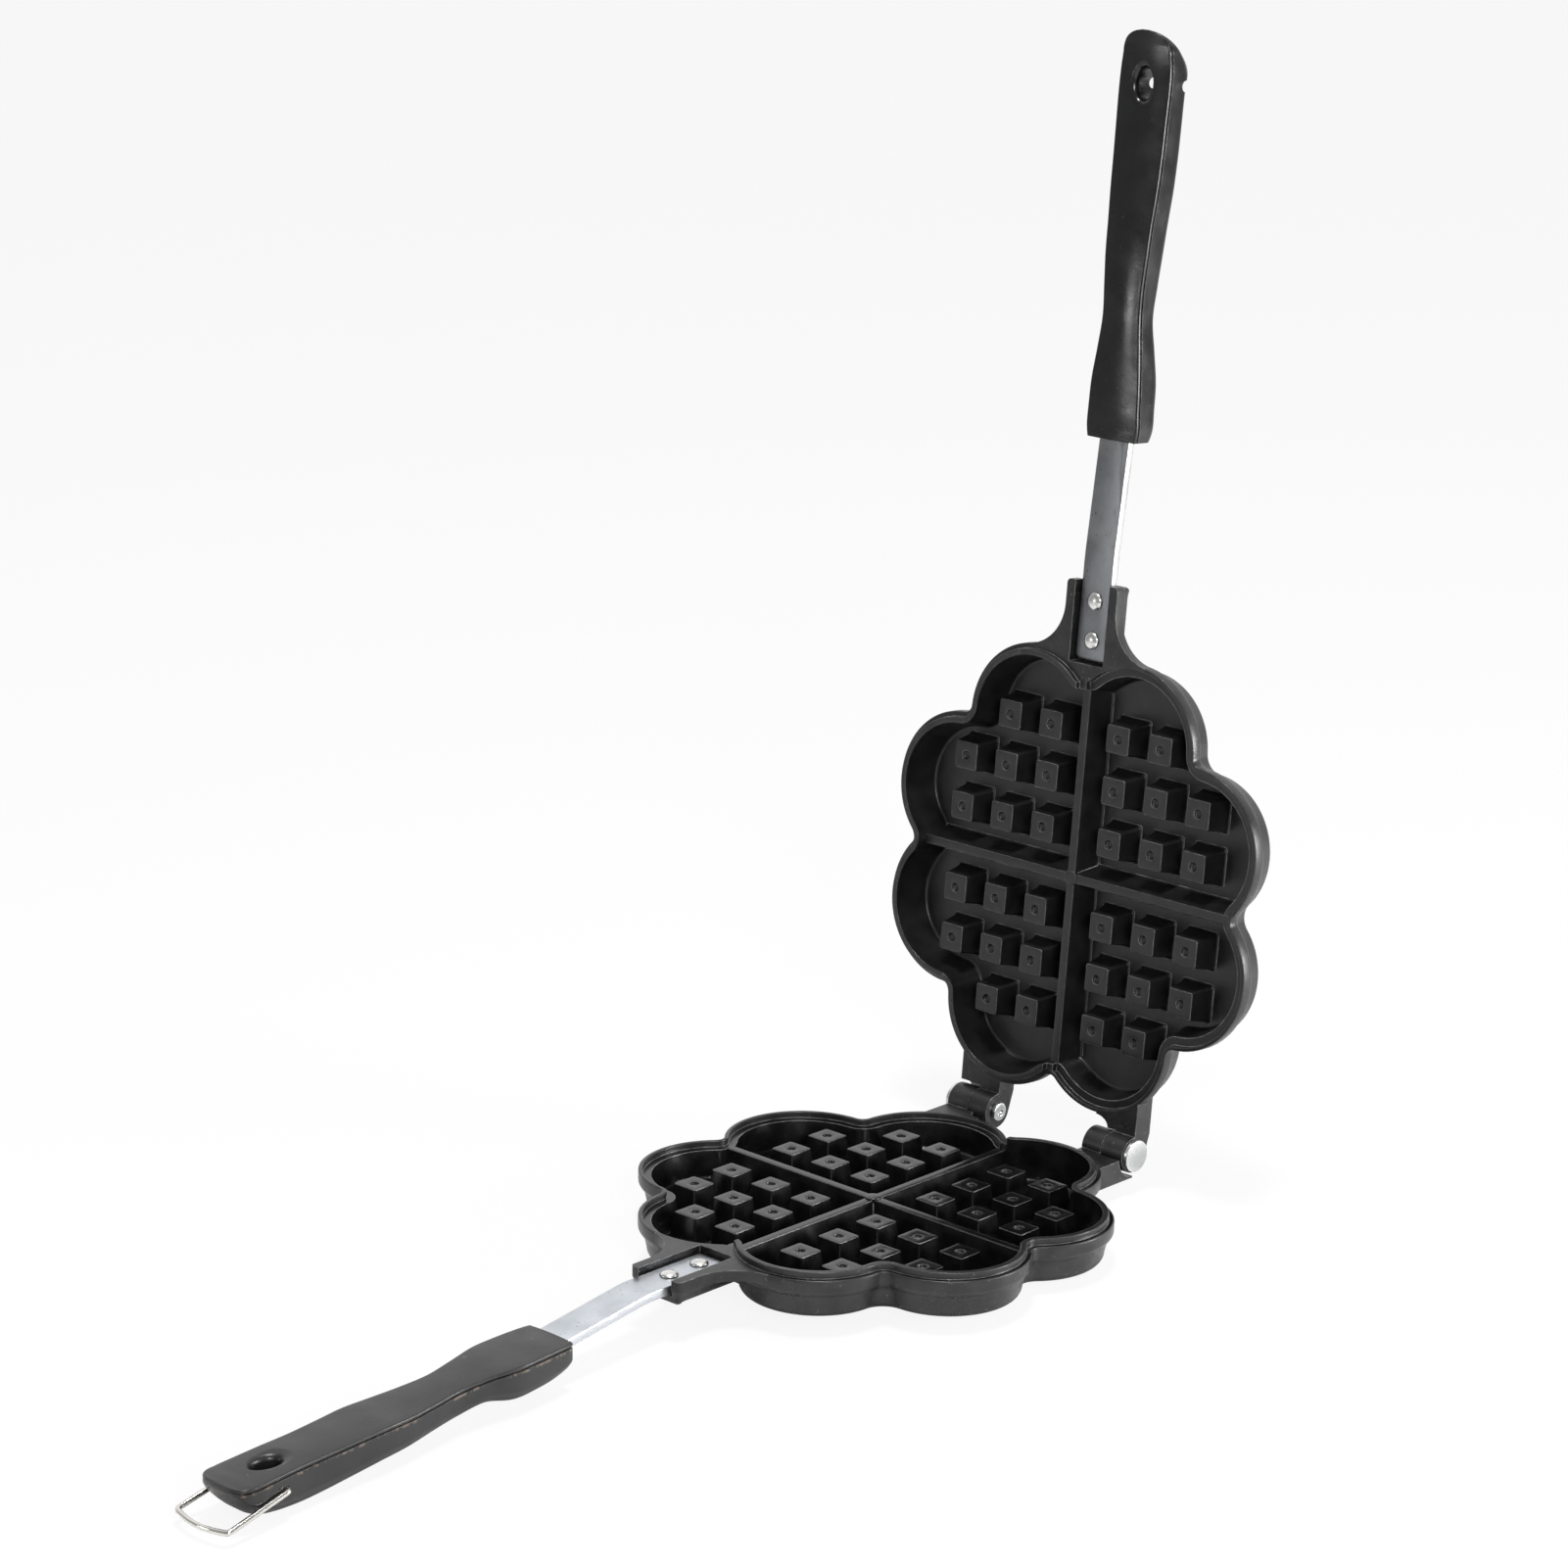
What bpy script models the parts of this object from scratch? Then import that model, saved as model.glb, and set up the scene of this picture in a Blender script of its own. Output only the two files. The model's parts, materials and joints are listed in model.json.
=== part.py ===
# Folding waffle mold for the stove: two equal flower shaped castings on a pinned hinge,
# each with a riveted steel strap and a moulded handle, and a wire bail that latches the handles.
# Every casting is drawn with its parting face at z = 0, its hollow side up, its handle towards -Y
# and its hinge towards +Y. The upper one is the same casting turned over and swung open.

import math

import bmesh
import bpy
from mathutils import Vector

# Plate outline
PLATE_REACH = 0.0770
LOBE_RADIUS = 0.0260
CLEFT_RADIUS = 0.0030
LOBE_COUNT = 8
LOBE_STEPS = 9
CLEFT_STEPS = 3

# Plate outside, measured down from the parting plane
LAND_GAP = 0.00015
RIM_EASE = 0.0002
FLANGE_DEPTH = 0.0038
STEP_DEPTH = 0.0063
STEP_INSET = 0.0020
STEP_STEPS = 4
FOOT_INSET = 0.0027
FOOT_FILLET = 0.0029
FOOT_STEPS = 3
PLATE_DEPTH = 0.0132

# Well inside
WELL_DEPTH = 0.0110
WELL_INSET = 0.0037
WELL_DRAFT = 0.0019
WELL_FILLET = 0.0010

# Rim: a lip round one half, and round the other half the recess that takes the other plate's lip
LIP_WIDTH = 0.0020
LIP_HEIGHT = 0.0019
LIP_ROUND = 0.0005
LIP_END = 0.0015
RECESS_DEPTH = 0.0022
RIM_CLEARANCE = 0.0003
RECESS_END = 0.0010

# Posts
POST_PITCH = 0.0170
POST_START = 0.01377
POST_ROWS = 3
POST_TOP = 0.0090
POST_BASE = 0.0116
POST_DROP = 0.0023
POST_EASE = 0.0004
DIMPLE_RADIUS = 0.00175
DIMPLE_FLOOR = 0.0010
DIMPLE_DEPTH = 0.0009
DIMPLE_SIDES = 8

# Dividers and the boss where they cross
DIVIDER_TOP = 0.0030
DIVIDER_BASE = 0.0074
DIVIDER_DROP = 0.0021
WALL_BITE = 0.0015
FLOOR_BITE = 0.0005
BOSS_RADIUS = 0.0025
BOSS_RISE = 0.0003
BOSS_SIDES = 16

# Strap socket
SOCKET_HALF_WIDTH = 0.0102
SOCKET_LENGTH = 0.0192
SOCKET_END = PLATE_REACH + SOCKET_LENGTH
SOCKET_DEPTH = 0.0074
SOCKET_FLARE = 0.0155
SOCKET_CORNER = 0.0014
SOCKET_DRAFT = 0.0004
SOCKET_ROUND = 0.0020
SOCKET_SHELF = 0.0014
SOCKET_STEPS = 3
SOCKET_CORNER_STEPS = 3
SOCKET_BITE = 0.0170
HEEL_DEPTH = 0.0008
HEEL_LENGTH = 0.0030
CHANNEL_HALF_WIDTH = 0.0069
CHANNEL_SETBACK = 0.0070
CHANNEL_START = PLATE_REACH - CHANNEL_SETBACK
FLARE_STEPS = 8

# Hinge
HINGE_REACH = 0.0061
HINGE_Y = PLATE_REACH + HINGE_REACH
ARM_INNER = 0.0203
ARM_OUTER = 0.0367
ARM_BITE = 0.0028
ARM_DEPTH = 0.0076
ARM_CUT_WIDTH = 0.0050
ARM_CUT_DEPTH = 0.0034
ARM_CUT_STEPS = 4
KNUCKLE_RADIUS = 0.0058
KNUCKLE_SPLIT = 0.0282
KNUCKLE_GAP = 0.0004
OUTER_RELIEF = 0.0012
INNER_RELIEF = 0.0004
KNUCKLE_SIDES = 24
WEB_SLOPE = math.radians(15)
PIN_RADIUS = 0.0025
PIN_CLEARANCE = 0.0001
PIN_SIDES = 20
PIN_HEAD_RADIUS = 0.00525
PIN_HEAD_THICKNESS = 0.0015
PIN_HEAD_ROUND = 0.0004
PIN_TAIL_RADIUS = 0.0030
PIN_TAIL_LENGTH = 0.0012
PIN_TAIL_HOLLOW = 0.0013
PIN_TAIL_HOLLOW_DEPTH = 0.0006
END_GAP = 0.0002

# Straps
STRAP_HALF_WIDTH = 0.0059
STRAP_THICKNESS = 0.0029
STRAP_EDGE = 0.0003
STRAP_SETBACK = 0.0013
STRAP_START = CHANNEL_START + STRAP_SETBACK
STRAP_DROP = 0.0022
STRAP_CORNER = 0.0015
STRAP_CORNER_STEPS = 4
STRAP_STRAIGHT = 0.0078
STRAP_BEND_Y = SOCKET_END + STRAP_STRAIGHT
STRAP_BEND_LENGTH = 0.0060
STRAP_BEND_STEPS = 3
LOWER_STRAP_SHOWN = 0.0424
UPPER_STRAP_SHOWN = 0.0455
TANG_LENGTH = 0.0564
STRAP_END = SOCKET_END + LOWER_STRAP_SHOWN + TANG_LENGTH
LOWER_STRAP_SLOPE = math.radians(8.1)
UPPER_STRAP_SLOPE = math.radians(3.7)
SEAT_GAP = 0.0002

# Rivets
RIVET_MARGIN = 0.0061
RIVET_PITCH = 0.0127
RIVET_FIRST = STRAP_START + RIVET_MARGIN
RIVET_SPOTS = {"inner": RIVET_FIRST, "outer": RIVET_FIRST + RIVET_PITCH}
RIVET_RADIUS = 0.0019
RIVET_CLEARANCE = 0.0001
RIVET_HEAD_RADIUS = 0.0029
RIVET_HEAD_HEIGHT = 0.0012
RIVET_HEAD_STEPS = 4
RIVET_BACK_RADIUS = 0.0029
RIVET_BACK_HEIGHT = 0.0007
RIVET_SIDES = 20

# Handles, measured from the end where the strap enters
LOWER_HANDLE_START = SOCKET_END + LOWER_STRAP_SHOWN
LOWER_HANDLE_LENGTH = 0.1241
LOWER_HANDLE_HALF_WIDTH = 0.0102
LOWER_HANDLE_THICKNESS = 0.0137
LOWER_HANDLE_FACE = 0.0061
LOWER_HANDLE_FALL = 0.0068
UPPER_HANDLE_START = SOCKET_END + UPPER_STRAP_SHOWN
UPPER_HANDLE_LENGTH = 0.1272
UPPER_HANDLE_HALF_WIDTH = 0.0101
UPPER_HANDLE_THICKNESS = 0.0140
UPPER_HANDLE_FACE = 0.0019
UPPER_HANDLE_FALL = 0.0016
HANDLE_FACE_ROUND = 0.0008
FACE_ROUND_WIDTH_SHARE = 0.33
FACE_ROUND_DEPTH_SHARE = 0.25
FACE_ROUND_STEPS = 2
BELLY_WIDTH_SHARE = 0.80
BELLY_DEPTH_SHARE = 0.43
BELLY_STEPS = 5
LONGEST_SLICE_SHARE = 0.040
SLOT_CLEARANCE = 0.00025
HOLE_HALF_WIDTH = 0.0046
HOLE_HALF_LENGTH = 0.0065
HOLE_CHAMFER = 0.0006
HOLE_SIDES = 28
LOWER_HOLE_MARGIN = 0.0172
UPPER_HOLE_MARGIN = 0.0165
LOWER_HOLE_Y = LOWER_HANDLE_START + LOWER_HANDLE_LENGTH - LOWER_HOLE_MARGIN
UPPER_HOLE_Y = UPPER_HANDLE_START + UPPER_HANDLE_LENGTH - UPPER_HOLE_MARGIN
NOTCH_MARGIN = 0.0164
NOTCH_Y = UPPER_HANDLE_START + UPPER_HANDLE_LENGTH - NOTCH_MARGIN
NOTCH_RADIUS = 0.0017
NOTCH_FLARE = 0.0004
NOTCH_STEPS = 8
NOTCH_FLOOR = 0.0112

# Each row: share of the length, of the half width, of the fall of the face and of the thickness
LOWER_HANDLE_SHARES = (
    (0.000, 0.90, 0.00, 0.67),
    (0.013, 0.94, 0.01, 0.73),
    (0.052, 0.98, 0.02, 0.84),
    (0.108, 1.01, 0.05, 0.90),
    (0.172, 1.01, 0.10, 0.90),
    (0.253, 0.83, 0.19, 0.71),
    (0.334, 0.72, 0.34, 0.74),
    (0.414, 0.80, 0.46, 0.77),
    (0.495, 0.90, 0.53, 0.84),
    (0.575, 0.94, 0.55, 0.90),
    (0.656, 0.91, 0.64, 0.95),
    (0.736, 0.89, 0.73, 0.99),
    (0.817, 0.90, 0.79, 1.00),
    (0.898, 0.92, 0.88, 0.90),
    (0.938, 0.93, 0.93, 0.76),
    (0.962, 0.88, 0.94, 0.59),
    (0.982, 0.76, 0.96, 0.38),
    (0.995, 0.52, 0.97, 0.18),
    (1.000, 0.26, 1.00, 0.08),
)
UPPER_HANDLE_SHARES = (
    (0.000, 0.94, 0.00, 0.85),
    (0.012, 0.97, -0.03, 0.90),
    (0.034, 1.00, -0.09, 0.95),
    (0.073, 0.98, -0.22, 0.98),
    (0.144, 0.94, -0.31, 1.00),
    (0.222, 0.83, -0.19, 0.90),
    (0.301, 0.73, -0.19, 0.80),
    (0.380, 0.75, -0.44, 0.89),
    (0.458, 0.81, -0.41, 0.93),
    (0.537, 0.85, -0.16, 0.96),
    (0.616, 0.91, 0.19, 0.97),
    (0.694, 0.94, 0.44, 0.97),
    (0.773, 0.96, 0.56, 0.96),
    (0.851, 0.98, 0.69, 0.94),
    (0.903, 0.97, 0.75, 0.98),
    (0.929, 0.94, 0.69, 0.87),
    (0.956, 0.88, 0.50, 0.62),
    (0.976, 0.77, 0.25, 0.40),
    (0.993, 0.56, 0.00, 0.19),
    (1.000, 0.32, -0.13, 0.08),
)

# Latch bail, at rest in the pose it lies in beside the handle tip
BAIL_MARGIN = 0.0171
BAIL_Y = LOWER_HANDLE_START + LOWER_HANDLE_LENGTH - BAIL_MARGIN
BAIL_HEIGHT = 0.0109
BAIL_DROP = LOWER_HANDLE_FACE + BAIL_HEIGHT
BAIL_WIRE_RADIUS = 0.00085
BAIL_BORE_CLEARANCE = 0.0001
BAIL_SIDE_GAP = 0.0001
BAIL_HALF_WIDTH = LOWER_HANDLE_HALF_WIDTH + BAIL_SIDE_GAP
BAIL_SPLAY = 0.0005
BAIL_SPREAD = BAIL_HALF_WIDTH + BAIL_SPLAY
BAIL_BITE = 0.0050
BAIL_TIP = BAIL_HALF_WIDTH - BAIL_BITE
BAIL_ARM_LENGTH = 0.0226
BAIL_BOW = 0.0019
BAIL_BEND = 0.0013
BAIL_BEND_STEPS = 4
BAIL_BOW_STEPS = 6
BAIL_REST = math.radians(-13.2)
BAIL_SIDES = 10

# Lid swing, closed at zero
LID_OPEN = math.radians(94.5)

# Every cut runs past the faces it goes through by this much
OVERRUN = 0.0010

# Shading keeps an edge sharp where its faces meet at more than this
SHARP_ANGLE = math.radians(32)

TURN = 2 * math.pi
QUARTER = math.pi / 2

# Looks: colour, roughness, metallic
CAST_LOOK = ((0.016, 0.016, 0.017), 0.42, 0.0)
ZINC_LOOK = ((0.62, 0.64, 0.66), 0.34, 1.0)
STEEL_LOOK = ((0.23, 0.24, 0.26), 0.38, 1.0)
RIVET_LOOK = ((0.80, 0.80, 0.79), 0.28, 1.0)
PIN_LOOK = ((0.72, 0.73, 0.74), 0.25, 1.0)
WIRE_LOOK = ((0.70, 0.69, 0.66), 0.22, 1.0)
BAKELITE_LOOK = ((0.013, 0.013, 0.014), 0.36, 0.0)


def clear_scene():
    for item in list(bpy.data.objects):
        bpy.data.objects.remove(item, do_unlink=True)


def make_material(name, look):
    colour, roughness, metallic = look
    material = bpy.data.materials.new(name)
    material.use_nodes = True
    shader = material.node_tree.nodes["Principled BSDF"]
    shader.inputs["Base Color"].default_value = (*colour, 1)
    shader.inputs["Roughness"].default_value = roughness
    shader.inputs["Metallic"].default_value = metallic
    return material


def link_mesh(name, mesh):
    item = bpy.data.objects.new(name, mesh)
    bpy.context.collection.objects.link(item)
    return item


def solid_from(name, build):
    """A linked object whose mesh the given function draws in a fresh bmesh."""
    bm = bmesh.new()
    build(bm)
    bmesh.ops.recalc_face_normals(bm, faces=bm.faces)
    mesh = bpy.data.meshes.new(name)
    bm.to_mesh(mesh)
    bm.free()
    return link_mesh(name, mesh)


def loft_into(bm, loops):
    """Skin a row of equal loops and close both ends."""
    rings = [[bm.verts.new(point) for point in loop] for loop in loops]
    count = len(rings[0])
    for lower, upper in zip(rings, rings[1:]):
        for i in range(count):
            j = (i + 1) % count
            bm.faces.new((lower[i], lower[j], upper[j], upper[i]))
    bm.faces.new(list(reversed(rings[0])))
    bm.faces.new(rings[-1])
    return rings


def loft(name, loops):
    return solid_from(name, lambda bm: loft_into(bm, loops))


def block(name, low, high):
    """A box between two corners."""
    def build(bm):
        made = bmesh.ops.create_cube(bm, size=1)
        for vert in made["verts"]:
            for axis in range(3):
                vert.co[axis] = high[axis] if vert.co[axis] > 0 else low[axis]
    return solid_from(name, build)


def combine(target, tool, operation):
    """Apply one exact boolean to the target's mesh and drop the tool."""
    change = target.modifiers.new("change", "BOOLEAN")
    change.operation = operation
    change.solver = "EXACT"
    change.object = tool
    bpy.context.view_layer.update()
    graph = bpy.context.evaluated_depsgraph_get()
    mesh = bpy.data.meshes.new_from_object(target.evaluated_get(graph))
    mesh.name = target.name
    target.modifiers.clear()
    target.data = mesh
    bpy.data.objects.remove(tool, do_unlink=True)


def clip(item, place, keep):
    """Cut an object flat at the given place along X and keep the named side of the cut."""
    bm = bmesh.new()
    bm.from_mesh(item.data)
    everything = list(bm.verts) + list(bm.edges) + list(bm.faces)
    bmesh.ops.bisect_plane(bm, geom=everything, plane_co=(place, 0, 0), plane_no=(keep, 0, 0),
                           clear_inner=True)
    rim = [edge for edge in bm.edges if edge.is_boundary]
    bmesh.ops.holes_fill(bm, edges=rim, sides=0)
    bmesh.ops.recalc_face_normals(bm, faces=bm.faces)
    bm.to_mesh(item.data)
    bm.free()


def finish(item, material):
    item.data.materials.clear()
    item.data.materials.append(material)
    item.data.shade_smooth()
    item.data.set_sharp_from_angle(angle=SHARP_ANGLE)


def polar(centre, radius, angle):
    return (centre[0] + radius * math.cos(angle), centre[1] + radius * math.sin(angle))


def flower(inset):
    """Plan of the plate drawn in by an inset: lobes joined by filleted clefts."""
    centre_reach = PLATE_REACH - LOBE_RADIUS
    half = math.pi / LOBE_COUNT
    across = centre_reach * math.sin(half)
    join = LOBE_RADIUS + CLEFT_RADIUS
    cleft_reach = centre_reach * math.cos(half) + math.sqrt(join ** 2 - across ** 2)
    along = cleft_reach * math.cos(half) - centre_reach
    spread = math.atan2(cleft_reach * math.sin(half), along)
    points = []
    for lobe in range(LOBE_COUNT):
        facing = half + lobe * 2 * half
        centre = polar((0, 0), centre_reach, facing)
        for step in range(LOBE_STEPS + 1):
            angle = facing + spread * (2 * step / LOBE_STEPS - 1)
            points.append(polar(centre, LOBE_RADIUS - inset, angle))
        cleft = facing + half
        pit = polar((0, 0), cleft_reach, cleft)
        opening = spread - half
        for step in range(1, CLEFT_STEPS):
            angle = cleft + math.pi + opening * (1 - 2 * step / CLEFT_STEPS)
            points.append(polar(pit, CLEFT_RADIUS + inset, angle))
    return points


def at_depth(plan, z):
    return [(x, y, z) for x, y in plan]


def flange_step():
    """Soft step from the flange band down to the wall, as pairs of inset and depth."""
    rings = []
    for step in range(STEP_STEPS + 1):
        share = step / STEP_STEPS
        swell = (1 - math.cos(math.pi * share)) / 2
        rings.append((STEP_INSET * swell, FLANGE_DEPTH + (STEP_DEPTH - FLANGE_DEPTH) * share))
    return rings


def plate_body():
    """Outside of the plate: land, flange band, step, drafted wall and rounded foot."""
    rings = [(RIM_EASE, LAND_GAP), (0, LAND_GAP + RIM_EASE)] + flange_step()
    for step in range(FOOT_STEPS + 1):
        angle = QUARTER * step / FOOT_STEPS
        inset = FOOT_INSET + FOOT_FILLET * (1 - math.cos(angle))
        depth = PLATE_DEPTH - FOOT_FILLET * (1 - math.sin(angle))
        rings.append((inset, depth))
    return loft("plate", [at_depth(flower(inset), -depth) for inset, depth in rings])


def lip_band():
    """Raised lip over the +X half of the rim."""
    outer = WELL_INSET - LIP_WIDTH
    section = [(outer, -OVERRUN), (outer, LIP_HEIGHT - LIP_ROUND), (outer + LIP_ROUND, LIP_HEIGHT),
               (WELL_INSET + OVERRUN, LIP_HEIGHT), (WELL_INSET + OVERRUN, -OVERRUN)]
    loops = [at_depth(flower(inset), z) for inset, z in section]

    def build(bm):
        rings = [[bm.verts.new(point) for point in loop] for loop in loops]
        count = len(rings[0])
        for lower, upper in zip(rings, rings[1:] + rings[:1]):
            for i in range(count):
                j = (i + 1) % count
                bm.faces.new((lower[i], lower[j], upper[j], upper[i]))
    band = solid_from("lip", build)
    clip(band, LIP_END, 1)
    return band


def well_cutter():
    """The hollow, with the lip's inner edge eased at its top."""
    lead = LIP_HEIGHT + OVERRUN
    fillet_inset = WELL_INSET + WELL_DRAFT
    rings = [(WELL_INSET - LIP_ROUND, lead), (WELL_INSET - LIP_ROUND, LIP_HEIGHT),
             (WELL_INSET, LIP_HEIGHT - LIP_ROUND), (WELL_INSET, -LAND_GAP),
             (fillet_inset, -(WELL_DEPTH - WELL_FILLET)),
             (fillet_inset + WELL_FILLET, -WELL_DEPTH)]
    return loft("well", [at_depth(flower(inset), z) for inset, z in rings])


def recess_cutter():
    """Ledge round the -X half of the rim, as wide as the other plate's lip and its clearance."""
    inset = WELL_INSET - LIP_WIDTH - RIM_CLEARANCE
    cutter = loft("recess", [at_depth(flower(inset), z) for z in (OVERRUN, -RECESS_DEPTH)])
    clip(cutter, -RECESS_END, -1)
    return cutter


def cleft_distance(inset):
    """From the plate's middle to the bottom of a cleft at the given inset."""
    return min(math.hypot(x, y) for x, y in flower(inset))


def divider(name, along_x):
    """Wall across the plate with sloped sides, its ends buried in the rim wall."""
    top_reach = cleft_distance(WELL_INSET) + WALL_BITE
    base_reach = cleft_distance(WELL_INSET + WELL_DRAFT + WELL_FILLET) + WALL_BITE
    loops = []
    for reach, width, z in ((top_reach, DIVIDER_TOP, -DIVIDER_DROP),
                            (base_reach, DIVIDER_BASE, -(WELL_DEPTH + FLOOR_BITE))):
        half = width / 2
        loop = [(-reach, -half, z), (reach, -half, z), (reach, half, z), (-reach, half, z)]
        if not along_x:
            loop = [(y, -x, z) for x, y, z in loop]
        loops.append(loop)
    return loft(name, loops)


def circle(radius, sides, z, phase=0):
    return [(radius * math.cos(TURN * i / sides + phase), radius * math.sin(TURN * i / sides + phase), z)
            for i in range(sides)]


def post_places():
    """Post centres: a square grid in each quarter without its outermost corner."""
    places = []
    for row in range(POST_ROWS):
        for column in range(POST_ROWS):
            if row + column == 2 * (POST_ROWS - 1):
                continue
            x = POST_START + POST_PITCH * row
            y = POST_START + POST_PITCH * column
            places += [(x, y), (-x, y), (-x, -y), (x, -y)]
    return places


def posts():
    """All the posts of a plate: sloped sides, eased top edge and a dimple in the top."""
    def ring(bm, x, y, half, z):
        corners = ((-half, -half), (half, -half), (half, half), (-half, half))
        return [bm.verts.new((x + dx, y + dy, z)) for dx, dy in corners]

    def build(bm):
        for x, y in post_places():
            base = ring(bm, x, y, POST_BASE / 2, -(WELL_DEPTH + FLOOR_BITE))
            edge = ring(bm, x, y, POST_TOP / 2, -(POST_DROP + POST_EASE))
            top = ring(bm, x, y, POST_TOP / 2 - POST_EASE, -POST_DROP)
            for low, high in ((base, edge), (edge, top)):
                for i in range(4):
                    j = (i + 1) % 4
                    bm.faces.new((low[i], low[j], high[j], high[i]))
            bm.faces.new(list(reversed(base)))
            phase = -3 * math.pi / 4
            mouth = [bm.verts.new((x + a, y + b, c))
                     for a, b, c in circle(DIMPLE_RADIUS, DIMPLE_SIDES, -POST_DROP, phase)]
            floor = [bm.verts.new((x + a, y + b, c))
                     for a, b, c in circle(DIMPLE_FLOOR, DIMPLE_SIDES, -(POST_DROP + DIMPLE_DEPTH), phase)]
            quarter = DIMPLE_SIDES // 4
            for side in range(4):
                arc = [mouth[(side * quarter + k) % DIMPLE_SIDES] for k in range(quarter + 1)]
                bm.faces.new([top[side], top[(side + 1) % 4]] + list(reversed(arc)))
            for i in range(DIMPLE_SIDES):
                j = (i + 1) % DIMPLE_SIDES
                bm.faces.new((mouth[i], mouth[j], floor[j], floor[i]))
            bm.faces.new(floor)
    return solid_from("posts", build)


def boss():
    return loft("boss", [circle(BOSS_RADIUS, BOSS_SIDES, -WELL_DEPTH),
                         circle(BOSS_RADIUS, BOSS_SIDES, -(DIVIDER_DROP - BOSS_RISE))])


def socket_plan(inset, flared):
    """Plan of the strap socket: straight sides, flared out into the two nearest lobes by a share."""
    centre_reach = PLATE_REACH - LOBE_RADIUS
    lobe = polar((0, 0), centre_reach, -QUARTER + math.pi / LOBE_COUNT)
    flare_x = SOCKET_HALF_WIDTH + SOCKET_FLARE
    join = LOBE_RADIUS + SOCKET_FLARE + inset
    drop = math.sqrt(join ** 2 - (flare_x - lobe[0]) ** 2)
    flare = (flare_x, lobe[1] - drop)
    last = math.atan2(lobe[1] - flare[1], lobe[0] - flare[0])
    half = [(0, -(SOCKET_END - inset))]
    corner = (SOCKET_HALF_WIDTH - inset - SOCKET_CORNER, -(SOCKET_END - inset - SOCKET_CORNER))
    for step in range(SOCKET_CORNER_STEPS + 1):
        half.append(polar(corner, SOCKET_CORNER, -QUARTER * (1 - step / SOCKET_CORNER_STEPS)))
    side = SOCKET_HALF_WIDTH - inset
    for step in range(FLARE_STEPS + 1):
        angle = math.pi + (last - math.pi) * step / FLARE_STEPS
        x, y = polar(flare, SOCKET_FLARE + inset, angle)
        half.append((side + (x - side) * flared, y))
    half.append((half[-1][0], SOCKET_BITE - PLATE_REACH))
    mirrored = [(-x, y) for x, y in reversed(half[1:])]
    return half + mirrored


def heel_depth(y):
    """How much deeper than the rest the socket is at a place along Y, near its end."""
    share = (-y - (SOCKET_END - HEEL_LENGTH)) / (HEEL_LENGTH - SOCKET_ROUND / 2)
    share = min(max(share, 0), 1)
    return HEEL_DEPTH * (1 - math.cos(math.pi * share)) / 2


def socket_block():
    """The socket's outside: flange band and step over a drafted rib, rounded underneath."""
    rings = [at_depth(socket_plan(0, 1), -LAND_GAP)]
    for step in range(STEP_STEPS + 1):
        share = step / STEP_STEPS
        flared = (1 + math.cos(math.pi * share)) / 2
        depth = FLANGE_DEPTH + SOCKET_SHELF * share
        rings.append(at_depth(socket_plan(SOCKET_DRAFT * share, flared), -depth))
    for step in range(SOCKET_STEPS + 1):
        angle = QUARTER * step / SOCKET_STEPS
        inset = SOCKET_DRAFT + SOCKET_ROUND * (1 - math.cos(angle))
        depth = SOCKET_DEPTH - SOCKET_ROUND * (1 - math.sin(angle))
        rings.append([(x, y, -depth - heel_depth(y)) for x, y in socket_plan(inset, 0)])

    def build(bm):
        loops = [[bm.verts.new(point) for point in ring] for ring in rings]
        count = len(loops[0])
        for low, high in zip(loops, loops[1:]):
            for i in range(count):
                j = (i + 1) % count
                bm.faces.new((low[i], low[j], high[j], high[i]))
        bm.faces.new(loops[0])
        base = loops[-1]
        bm.faces.new((base[0], base[1], base[2], base[-2], base[-1]))
        for i in range(2, count // 2):
            bm.faces.new((base[i], base[i + 1], base[-i - 1], base[-i]))
    return solid_from("socket", build)


def rivet_hole(distance, top):
    phase = math.pi / RIVET_SIDES
    hole = loft("hole", [circle(RIVET_RADIUS + RIVET_CLEARANCE, RIVET_SIDES, z, phase)
                         for z in (-(SOCKET_DEPTH + HEEL_DEPTH + OVERRUN), top)])
    hole.location = (0, -distance, 0)
    return hole


def channel_cutter():
    floor = STRAP_DROP + STRAP_THICKNESS + SEAT_GAP
    return block("channel", (-CHANNEL_HALF_WIDTH, -(SOCKET_END + OVERRUN), -floor),
                 (CHANNEL_HALF_WIDTH, -CHANNEL_START, OVERRUN))


def rod(name, radius, sides, low, high, spot):
    """A plain cylinder along X between two places, at the given Y and Z."""
    phase = math.pi / sides
    loops = [[(x, spot[0] + a, spot[1] + b) for a, b, _ in circle(radius, sides, 0, phase)]
             for x in (low, high)]
    return loft(name, loops)


def arm_root():
    """Place of the arms' hidden ends, inside the rim wall at the arm's outer side."""
    centre = polar((0, 0), PLATE_REACH - LOBE_RADIUS, QUARTER - math.pi / LOBE_COUNT)
    wall = LOBE_RADIUS - FOOT_INSET
    return centre[1] + math.sqrt(wall ** 2 - (ARM_OUTER - centre[0]) ** 2) - ARM_BITE


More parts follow.
